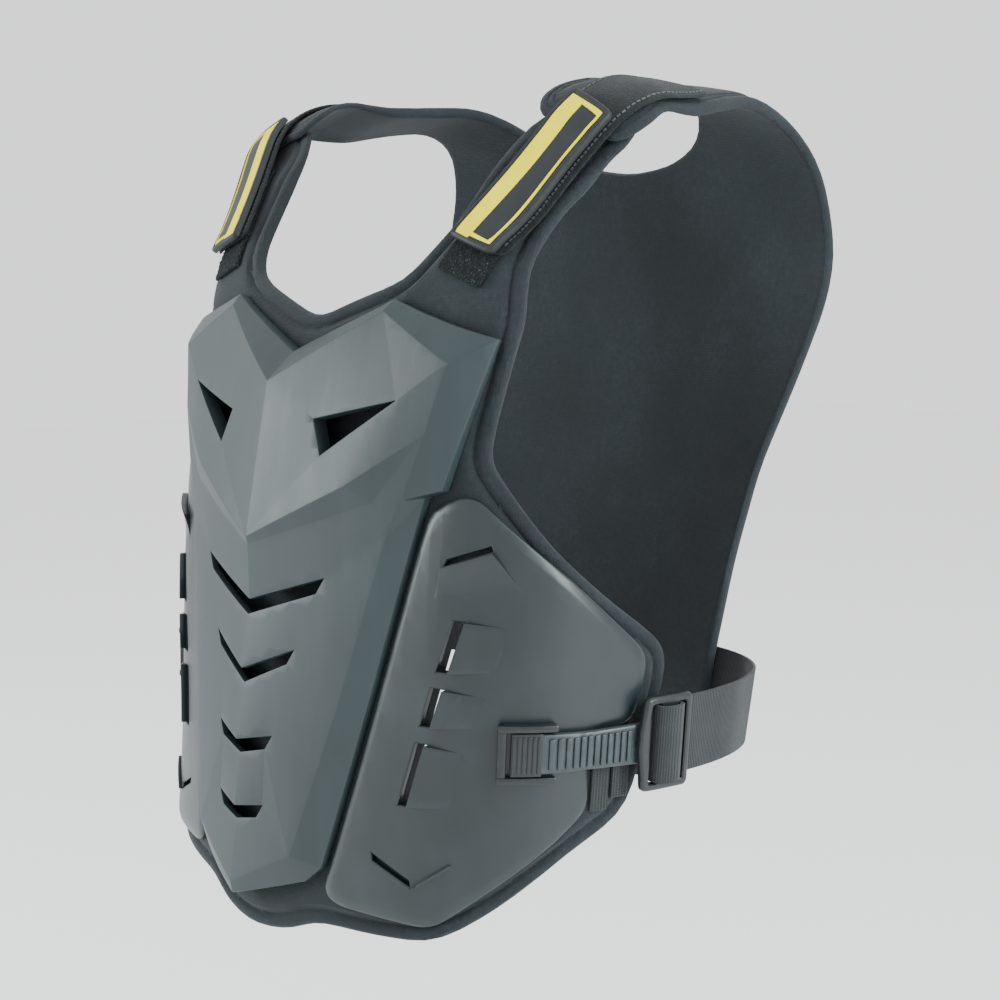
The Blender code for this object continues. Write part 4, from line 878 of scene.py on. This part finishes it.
def chest_shell():
    """Faceted shell: facets between named corners, open at the vents and slots, walled and bevelled"""
    bm = bmesh.new()
    corners = {name: bm.verts.new(plate_point(name)) for name in PLATE_CORNERS}
    slots = [[bm.verts.new(point) for point in slot] for slot in slot_corners()]
    facets = [
        ("notch", "peak", "peak_in", "apex"),
        ("peak", "corner", "corner_in", "peak_in"),
        ("corner", "waist", "waist_in", "corner_in"),
        ("apex", "peak_in", "vent_tip", "vent_top"),
        ("peak_in", "corner_in", "vent_tip"),
        ("corner_in", "waist_in", "vent_tip"),
        ("vent_tip", "waist_in", "brow", "vent_low"),
        ("apex", "vent_top", "vent_low", "crease"),
        ("crease", "vent_low", "brow"),
        ("crease", "brow", "brow_low", "step"),
        ("brow", "waist_in", "brow_low"),
        ("brow_low", "waist_in", "hip_in"),
        ("waist_in", "waist", "hip_in"),
        ("hip_in", "waist", "hip"),
        ("hip_in", "hip", "rib_in"),
        ("rib_in", "hip", "foot_side", "foot_in", "belly_in"),
        ("chin_in", "foot_in", "foot_side", "foot", "chin"),
    ]
    for names in facets:
        bm.faces.new([corners[name] for name in names])
    first, second, third, fourth = slots
    rib_in, belly_in, foot_in = corners["rib_in"], corners["belly_in"], corners["foot_in"]
    bm.faces.new([corners["step"], corners["brow_low"], first[1], first[0]])
    bm.faces.new([corners["brow_low"], corners["hip_in"], rib_in, first[1]])
    bm.faces.new([first[1], rib_in, belly_in, first[2]])
    bm.faces.new([first[2], belly_in, second[1]])
    bm.faces.new([second[1], belly_in, second[2]])
    bm.faces.new([second[2], belly_in, third[1]])
    bm.faces.new([third[1], belly_in, foot_in, third[2]])
    bm.faces.new([third[2], foot_in, fourth[1]])
    bm.faces.new([fourth[1], foot_in, fourth[2]])
    for upper, lower in zip(slots, slots[1:]):
        bm.faces.new([upper[3], upper[2], lower[1], lower[0]])
    bm.faces.new([fourth[3], fourth[2], foot_in, corners["chin_in"]])
    bmesh.ops.mirror(bm, geom=bm.verts[:] + bm.edges[:] + bm.faces[:], axis="X", merge_dist=1e-6)
    bmesh.ops.recalc_face_normals(bm, faces=bm.faces[:])
    if sum(face.normal.z for face in bm.faces) < 0:
        bmesh.ops.reverse_faces(bm, faces=bm.faces[:])
    turn_in_edges(bm)
    bm = with_wall(bm, PLATE_WALL)
    bevel(bm, PLATE_BEVEL, degrees=5, segments=3)
    add_piece("chest_shell", lay(bm, on_body, step=0.006), "chest_plate", SHELL_PLASTIC, sharp=24)


def turn_in_edges(bm):
    """Turns the rim down to the foam and the sides of the vents and slots inwards"""
    names = ("notch", "peak", "corner", "waist", "hip", "foot_side", "foot", "chin")
    rim = {(round(side * plate_point(name)[0], 6), round(plate_point(name)[1], 6))
           for name in names for side in (-1, 1)}
    vents = {(round(side * plate_point(name)[0], 6), round(plate_point(name)[1], 6))
             for name in ("vent_top", "vent_low", "vent_tip") for side in (-1, 1)}

    def in_set(vert, places):
        return (round(vert.co.x, 6), round(vert.co.y, 6)) in places

    open_edges = [edge for edge in bm.edges if edge.is_boundary]
    rim_edges = [edge for edge in open_edges if all(in_set(vert, rim) for vert in edge.verts)]
    vent_edges = [edge for edge in open_edges if all(in_set(vert, vents) for vert in edge.verts)]
    slot_edges = [edge for edge in open_edges if edge not in rim_edges and edge not in vent_edges]
    for edges, depth in ((rim_edges, None), (vent_edges, VENT_FLANGE), (slot_edges, SLOT_FLANGE)):
        turned = bmesh.ops.extrude_edge_only(bm, edges=edges)["geom"]
        for vert in turned:
            if isinstance(vert, bmesh.types.BMVert):
                vert.co.z = PLATE_SEAT if depth is None else vert.co.z - depth


# Louver at the top of the wing plate and check-shaped scoop at its foot, in metres across and along
LOUVER_SLOT = ((0.1150, -0.2350), (0.1168, -0.2318), (0.1352, -0.2236), (0.1362, -0.2262))
LOUVER_RAMP = ((0.1152, -0.2358), (0.1362, -0.2266))
LOUVER_FOOT = ((0.1110, -0.2520), (0.1500, -0.2460))
CHECK_SLOT = ((0.0840, -0.3805), (0.0846, -0.3840), (0.1066, -0.3935), (0.1060, -0.3905))
CHECK_LEG = ((0.1066, -0.3938), (0.1240, -0.3795))
CHECK_FOOT = ((0.1110, -0.3930), (0.1262, -0.3800))


def wing_shell(side, mirrored):
    """Wing plate with a rolled rim, a louver, three gilled slots and a check-shaped scoop"""
    outline = front_points(SIDE_OUTLINE)
    top, low = outline[-1][1] - 0.004, outline[0][1] + 0.006
    outline += [(seam_edge(top), top), (seam_edge(low), low)]
    holes = [grille_slot(*row) for row in GRILLE] + [list(LOUVER_SLOT), list(CHECK_SLOT)]
    bm = panel(rounded(outline, 0.008, 4), ROLLED_EDGE, PLATE_SEAT, holes)
    floor = SIDE_TOP
    for row in GRILLE:
        near_top, near_low = grille_slot(*row)[3], grille_slot(*row)[2]
        far = [(near_top[0] + GILL_REACH, near_top[1] - 0.002), (near_low[0] + GILL_REACH, near_low[1] + 0.002)]
        lip(bm, (near_top, near_low), far, floor, GILL_RISE)
    lip(bm, LOUVER_RAMP, LOUVER_FOOT, floor, 0.0038)
    lip(bm, CHECK_LEG, CHECK_FOOT, floor, 0.0020)
    add_piece("wing_shell_" + side, lay(bm, on_body, mirrored, 0.006), "side_plate_" + side,
              WING_PLASTIC, sharp=28)


def catch_housing(side, mirrored):
    """Catch: a hood above and below the strap, a low nose and a ribbed lever in the pocket"""
    low, high = STRAP_LEVEL - CATCH_HEIGHT / 2, STRAP_LEVEL + CATCH_HEIGHT / 2
    start = STRAP_START - (CATCH_HEIGHT - LADDER_HEIGHT) / 2 - GAP
    end = start + CATCH_LENGTH
    wall = (CATCH_HEIGHT - LADDER_HEIGHT) / 2 - GAP
    top = CATCH_SEAT + CATCH_RISE
    width = 0.0007
    bm = block(start, end, low, high, CATCH_SEAT, CATCH_SEAT + CATCH_FLOOR, 0.0004)
    for t0, t1 in ((low, low + wall), (high - wall, high)):
        add_to(bm, block(start, end, t0, t1, CATCH_SEAT, top, width))
    add_to(bm, block(start, start + wall, low, high, CATCH_SEAT, top - 0.0006, width))
    lever = STRAP_START + 0.0006
    ribs, pitch = 6, 0.0019
    add_to(bm, block(lever - 0.0004, lever + ribs * pitch, low + wall + 0.0006, high - wall - 0.0006,
                     LADDER_SEAT + LADDER_WALL - 0.0004, LADDER_SEAT + LADDER_WALL + 0.0006, 0.0003))
    for i in range(ribs):
        u = lever + i * pitch
        add_to(bm, block(u, u + pitch * 0.7, low + wall + 0.002, high - wall - 0.002,
                         LADDER_SEAT + LADDER_WALL, LADDER_SEAT + LADDER_WALL + 0.0011, 0.0003))
    add_piece("catch_" + side, lay(bm, on_body, mirrored, FINE), "strap_catch_" + side,
              BUCKLE_PLASTIC)


def toothed_strap(side, mirrored):
    """Ladder strap: rounded borders, slightly waisted, with a row of crested ribs"""
    border = 0.0026
    low, high = STRAP_LEVEL - LADDER_HEIGHT / 2, STRAP_LEVEL + LADDER_HEIGHT / 2
    waist = 0.0008
    middle = (STRAP_START + LADDER_END) / 2
    outline = rounded([(STRAP_START, low), (middle, low + waist), (LADDER_END, low), (LADDER_END, high),
                       (middle, high - waist), (STRAP_START, high)], 0.004, 4)
    edge = ((0.0, LADDER_WALL * 0.6, 0.0), (0.0003, LADDER_WALL * 0.85, 0.0), (0.0009, LADDER_WALL, 0.0),
            (0.0018, LADDER_WALL, 0.0))
    bm = panel(outline, edge, LADDER_SEAT)
    top = LADDER_SEAT + LADDER_WALL
    first = BUCKLE_START - 0.001 - RIBS * RIB_PITCH
    for i in range(RIBS):
        u = first + i * RIB_PITCH
        add_to(bm, block(u, u + RIB_PITCH * 0.72, low + border, high - border, top - 0.0005, top + RIB_RISE,
                         0.0005))
    add_piece("toothed_strap_" + side, lay(bm, on_body, mirrored, FINE), "ladder_strap_" + side,
              STRAP_PLASTIC)


def buckle_places():
    """Front and rear edges of the two windows of the buckle"""
    front = BUCKLE_START + LEFT_BAR
    rear = BUCKLE_START + BUCKLE_WIDTH - RIGHT_BAR
    middle = (front + rear) / 2
    return front, middle - CENTRE_BAR / 2, middle + CENTRE_BAR / 2, rear


def slide_buckle(side, mirrored):
    """Three-bar slide with a kinked front bar"""
    low, high = STRAP_LEVEL - BUCKLE_HEIGHT / 2, STRAP_LEVEL + BUCKLE_HEIGHT / 2
    start, end = BUCKLE_START, BUCKLE_START + BUCKLE_WIDTH
    kink = 0.0026
    outline = rounded([(start + kink, low), (end, low), (end, high), (start + kink, high),
                       (start, STRAP_LEVEL + 0.003)], 0.0035, 4)
    front, bar_front, bar_rear, rear = buckle_places()
    holes = [rounded([(u0, low + END_BAR), (u1, low + END_BAR), (u1, high - END_BAR), (u0, high - END_BAR)],
                     0.0012, 2) for u0, u1 in ((front, bar_front), (bar_rear, rear))]
    edge = ((0.0, BUCKLE_WALL * 0.55, 0.0006), (0.0004, BUCKLE_WALL * 0.82, 0.0001),
            (0.0011, BUCKLE_WALL * 0.97, 0.0), (0.0018, BUCKLE_WALL, 0.0))
    bm = lay(panel(outline, edge, BUCKLE_SEAT, holes), on_flank, mirrored, FINE)
    add_piece("slide_" + side, bm, "buckle_frame_" + side, BUCKLE_PLASTIC)


def ribbon(route, halves):
    """The two sides of a strip along a route, with its half thickness at each point"""
    sides = [[], []]
    for i, ((u, w), half) in enumerate(zip(route, halves)):
        before, after = route[max(i - 1, 0)], route[min(i + 1, len(route) - 1)]
        along = Vector((after[0] - before[0], after[1] - before[1])).normalized()
        for points, sign in zip(sides, (1, -1)):
            points.append((u - sign * along.y * half, w + sign * along.x * half))
    return sides


def strip(route, halves, low, high, rows=6):
    """A strap along a route in u and w, from the place low to the place high along t"""
    bm = bmesh.new()
    sides = [[bm.verts.new((u, low, w)) for u, w in side] for side in ribbon(route, halves)]
    for i in range(len(route) - 1):
        bm.faces.new((sides[0][i], sides[0][i + 1], sides[1][i + 1], sides[1][i]))
    section_faces = bm.faces[:]
    for row in range(rows):
        raised = bmesh.ops.extrude_face_region(bm, geom=section_faces)["geom"]
        section_faces = [item for item in raised if isinstance(item, bmesh.types.BMFace)]
        for vert in raised:
            if isinstance(vert, bmesh.types.BMVert):
                vert.co.y = low + (high - low) * (row + 1) / rows
        if row:
            inner = [face for face in bm.faces if all(abs(v.co.y - low - (high - low) * row / rows) < 1e-7
                                                      for v in face.verts)]
            bmesh.ops.delete(bm, geom=inner, context="FACES_ONLY")
    bmesh.ops.recalc_face_normals(bm, faces=bm.faces[:])
    return bm


def resampled(route, pitch):
    """Points an even pitch apart along a route"""
    route = np.array(route)
    lengths = np.concatenate([[0], np.cumsum(np.linalg.norm(np.diff(route, axis=0), axis=1))])
    places = np.arange(0, lengths[-1], pitch)
    return [(float(np.interp(s, lengths, route[:, 0])), float(np.interp(s, lengths, route[:, 1]))) for s in places]


def elastic_strap(side, mirrored):
    """Ribbed elastic: round the buckle's centre bar, round the flank and onto the back panel"""
    front, bar_front, bar_rear, rear = buckle_places()
    half, bulge = ELASTIC / 2 + GAP, 0.0014
    under, top = BUCKLE_SEAT - half, BUCKLE_SEAT + BUCKLE_WALL
    middle = (bar_front + bar_rear) / 2
    seat = FOAM + GAP + ELASTIC / 2
    tail = seat + 0.0012
    reach = FLANK_START + FLANK_SPAN
    radius = (bar_rear - bar_front) / 2 + half
    route = [(middle + radius + 0.004, tail), (middle, tail + 0.0002), (bar_front - half + 0.0012, tail + 0.0012),
             (bar_front - half, under)]
    for angle in range(0, 181, 15):
        turn = math.radians(angle)
        route.append((middle - radius * math.cos(turn), top + (half + bulge) * math.sin(turn)))
    route += [(bar_rear + half, under + 0.0008), (bar_rear + half + 0.0022, under - 0.0012),
              (rear + RIGHT_BAR, under - 0.0018), (FLANK_START, under - 0.0022)]
    route += [(reach, seat), (reach + ELASTIC_SEAT, seat)]
    pitch = 0.0008
    places = resampled(route, pitch)
    halves = [ELASTIC / 2 - (0.00022 if i % 2 else 0.0) for i in range(len(places))]
    low, high = STRAP_LEVEL - ELASTIC_HEIGHT / 2, STRAP_LEVEL + ELASTIC_HEIGHT / 2
    bm = lay(strip(places, halves, low, high), on_flank, mirrored, step=0.5)
    piece = add_piece("elastic_" + side, bm, "elastic_band_" + side, RIBBED_WEBBING, sharp=60)


def keeper_tapes(side, mirrored):
    for index, name in enumerate(("front", "rear")):
        place = TAPE_PLACE + index * TAPE_STEP
        low, high = TAPE_LOW + index * TAPE_STEP / 2, STRAP_LEVEL + TAPE_TUCK
        outline = rounded([(place, low), (place + TAPE_WIDTH, low), (place + TAPE_WIDTH, high), (place, high)],
                          0.0008, 2)
        edge = ((0.0, TAPE * 0.6, 0.0), (0.0004, TAPE, 0.0))
        bm = lay(panel(outline, edge, PLATE_SEAT), on_body, mirrored, 0.003)
        piece = add_piece("tape_%s_%s" % (name, side), bm, "keeper_tape_%s_%s" % (name, side),
                          RIBBED_WEBBING)


def closure_strip(start, end, width, shift=0.0):
    """Outline of a strip of even width along the shoulder closure's middle line, between two places"""
    line = [(across * HALF, along * DROP) for across, along in CLOSURE_LINE]
    steps = 14
    places = [start + (end - start) * i / steps for i in range(steps + 1)]
    middle = [(float(np.interp(t, [p[1] for p in line], [p[0] for p in line])), t) for t in places]
    left, right = ribbon(middle, [width / 2] * len(middle))
    centre = [((a[0] + b[0]) / 2 + shift, (a[1] + b[1]) / 2) for a, b in zip(left, right)]
    left, right = ribbon(centre, [width / 2] * len(centre))
    return left + right[::-1]


def corner_rounded(outline, radius, corners):
    """Rounds only the named corners of a strip's outline"""
    count = len(outline)
    points = []
    for i, here in enumerate(outline):
        if i not in corners:
            points.append(here)
            continue
        before, after = Vector(outline[i - 1]), Vector(outline[(i + 1) % count])
        here = Vector(here)
        start = here + (before - here).normalized() * min(radius, (before - here).length * 0.8)
        end = here + (after - here).normalized() * min(radius, (after - here).length * 0.8)
        for k in range(5):
            f = k / 4
            points.append(tuple(start * (1 - f)**2 + here * 2 * f * (1 - f) + end * f**2))
    return points


def strip_corners(outline):
    half = len(outline) // 2
    return (0, half - 1, half, len(outline) - 1)


def shoulder_closure(side, mirrored):
    """Hook pad on the front panel, tab from the back panel and the badge on the tab's end"""
    start = BADGE_FROM * DROP
    pad_from, pad_to = start - PAD_LEAD, start - PAD_LEAD + PAD_LENGTH
    pad = closure_strip(pad_from, pad_to, BADGE_WIDTH)
    edge = ((0.0, HOOK_PAD * 0.7, 0.0), (0.0006, HOOK_PAD, 0.0))
    bm = lay(panel(pad, edge), on_strap, mirrored, 0.0018)
    roughen(bm, 0.00035, seed=len(side))
    piece = add_piece("hook_tape_" + side, bm, "hook_pad_" + side, HOOK_CLOTH, sharp=80)
    tab = closure_strip(start + TAB_START, TAB_TO * DROP, TAB_WIDTH)
    tab = corner_rounded(tab, 0.004, strip_corners(tab))
    edge = ((0.0, TAB * 0.55, 0.0002), (0.0004, TAB * 0.9, 0.0), (0.0010, TAB, 0.0), (0.0024, TAB * 0.93, 0.0),
            (0.0032, TAB, 0.0))
    bm = lay(panel(tab, edge), on_closure, mirrored, FINE)
    piece = add_piece("tab_" + side, bm, "shoulder_tab_" + side, TAB_CLOTH)
    tab_stitches(side, mirrored, start + TAB_START, TAB_TO * DROP)
    shoulder_badge(side, mirrored, start)


def tab_stitches(side, mirrored, start, end):
    """A row of lockstitches along both long sides of the tab"""
    seam_in, pitch, stitch, half = 0.0028, 0.0032, 0.0022, 0.0004
    outline = closure_strip(start + seam_in, end - seam_in, TAB_WIDTH - 2 * seam_in)
    bm = bmesh.new()
    for row in (outline[:len(outline) // 2], outline[len(outline) // 2:]):
        places = [Vector(place) for place in resampled(row, pitch)]
        for here, following in zip(places, places[1:]):
            along = (following - here).normalized()
            across = Vector((-along.y, along.x)) * half
            tip = here + along * stitch
            corners = (here + across, here - across, tip - across, tip + across)
            hull(bm, [(u, t, w) for u, t in corners for w in (TAB - 0.0003, TAB + 0.0003)])
    add_piece("tab_stitches_" + side, lay(bm, on_closure, mirrored, FINE), None, SEWING_THREAD)


def shoulder_badge(side, mirrored, start):
    """Moulded badge with a raised rim, a poured frame and a poured band on the neck side, left blank"""
    seat = BADGE_SEAT
    outline = closure_strip(start, start + BADGE_LENGTH, BADGE_WIDTH)
    outline = corner_rounded(outline, 0.0028, strip_corners(outline))
    floor = BADGE - 0.0006
    edge = ((0.0, BADGE * 0.45, 0.0003), (0.0003, BADGE * 0.8, 0.0), (0.0009, BADGE, 0.0), (0.0020, BADGE, 0.0),
            (0.0026, floor, 0.0), (0.0030, floor, 0.0))
    bm = lay(panel(outline, edge, seat), on_closure, mirrored, FINE)
    add_piece("badge_" + side, bm, "shoulder_badge_" + side, BADGE_RUBBER)
    frame_in, frame_width, pour = 0.0033, 0.0010, 0.0005
    outer = inset(outline, frame_in)
    inner = inset(outline, frame_in + frame_width)
    low = seat + floor - 0.0001
    bm = ring_solid(outer, inner, low, low + pour)
    print_width = BADGE_WIDTH - 2 * frame_in
    band_width = print_width * 0.45
    band = closure_strip(start + frame_in, start + BADGE_LENGTH - frame_in, band_width,
                         shift=-(print_width - band_width) / 2)
    band = corner_rounded(band, 0.0018, strip_corners(band))
    add_to(bm, panel(band, ((0.0, pour * 0.7, 0.0), (0.0002, pour, 0.0)), low))
    add_piece("badge_print_" + side, lay(bm, on_closure, mirrored, FINE), None, BADGE_PRINT)


def ring_solid(outer, inner, low, high):
    """A flat ring between two outlines"""
    bm = bmesh.new()
    edges = []
    for points in (outer, inner):
        ring = [bm.verts.new((u, t, low)) for u, t in points]
        edges += [bm.edges.new(pair) for pair in zip(ring, ring[1:] + ring[:1])]
    bmesh.ops.triangle_fill(bm, edges=edges, use_beauty=True)
    raised = bmesh.ops.extrude_face_region(bm, geom=bm.faces[:])["geom"]
    for vert in raised:
        if isinstance(vert, bmesh.types.BMVert):
            vert.co.z = high
    bmesh.ops.recalc_face_normals(bm, faces=bm.faces[:])
    return bm


def roughen(bm, depth, seed):
    """Moves each point of a fibrous surface a little in or out"""
    chance = random.Random(seed)
    bm.normal_update()
    for vert in bm.verts:
        vert.co += vert.normal * chance.uniform(-depth, depth)


def soft_light(name, place, aim, size, power, colour="#FFFFFF"):
    light = bpy.data.lights.new(name, "AREA")
    light.shape = "RECTANGLE"
    light.size, light.size_y = size
    light.energy = power
    light.color = linear(colour)[:3]
    lamp = bpy.data.objects.new(name, light)
    lamp.location = place
    lamp.rotation_euler = (Vector(aim) - Vector(place)).to_track_quat("-Z", "Y").to_euler()
    bpy.context.scene.collection.objects.link(lamp)


def studio():
    """Pale floor, pale world and soft lamps"""
    bm = bmesh.new()
    bmesh.ops.create_grid(bm, x_segments=1, y_segments=1, size=6)
    bmesh.ops.translate(bm, verts=bm.verts[:], vec=(0, 0, -0.80))
    mesh = bpy.data.meshes.new("studio_floor")
    bm.to_mesh(mesh)
    bm.free()
    floor = bpy.data.objects.new("studio_floor", mesh)
    floor.data.materials.append(new_material("paper_pale", Roughness=0.9, Base_Color=linear("#FBFBFB")))
    bpy.context.scene.collection.objects.link(floor)
    world = bpy.data.worlds.new("studio")
    world.use_nodes = True
    sky = world.node_tree.nodes["Background"]
    sky.inputs["Color"].default_value = linear("#FAFBFC")
    sky.inputs["Strength"].default_value = 1.5
    bpy.context.scene.world = world
    aim = (0.0, 0.0, -0.22)
    soft_light("key", (-1.7, -1.9, 0.25), aim, (1.0, 1.0), 48, "#EEF8F8")
    soft_light("side", (2.2, 0.4, 0.5), aim, (0.4, 1.3), 62, "#EEF8F8")
    soft_light("top", (0.3, 0.6, 1.9), aim, (1.2, 1.0), 10)


def photo_camera():
    """The camera that was fitted to the photograph"""
    azimuth, elevation, distance = math.radians(50.0), math.radians(7.82), 1.047
    aim = Vector((0.0, 0.010, -0.226))
    away = Vector((math.sin(azimuth) * math.cos(elevation), -math.cos(azimuth) * math.cos(elevation),
                   math.sin(elevation)))
    camera = bpy.data.cameras.new("photo_camera")
    camera.sensor_width = 36.0
    camera.lens = 65.8
    camera.clip_start, camera.clip_end = 0.01, 50.0
    holder = bpy.data.objects.new("photo_camera", camera)
    holder.location = aim + away * distance
    holder.rotation_euler = (-away).to_track_quat("-Z", "Y").to_euler()
    bpy.context.scene.collection.objects.link(holder)
    bpy.context.scene.camera = holder


photo_camera()
studio()
FOAM_CLOTH = foam_cloth()
SHELL_PLASTIC = shell_plastic()
WING_PLASTIC = wing_plastic()
STRAP_PLASTIC = strap_plastic()
BUCKLE_PLASTIC = buckle_plastic()
RIBBED_WEBBING = ribbed_webbing()
TAB_CLOTH = tab_cloth()
HOOK_CLOTH = hook_cloth()
BADGE_RUBBER = badge_rubber()
BADGE_PRINT = badge_print()
SEWING_THREAD = sewing_thread()

front_panel()
back_panel()
chest_shell()
back_shell()
for SIDE, MIRRORED in (("left", False), ("right", True)):
    wing_shell(SIDE, MIRRORED)
    catch_housing(SIDE, MIRRORED)
    toothed_strap(SIDE, MIRRORED)
    slide_buckle(SIDE, MIRRORED)
    elastic_strap(SIDE, MIRRORED)
    keeper_tapes(SIDE, MIRRORED)
    shoulder_closure(SIDE, MIRRORED)
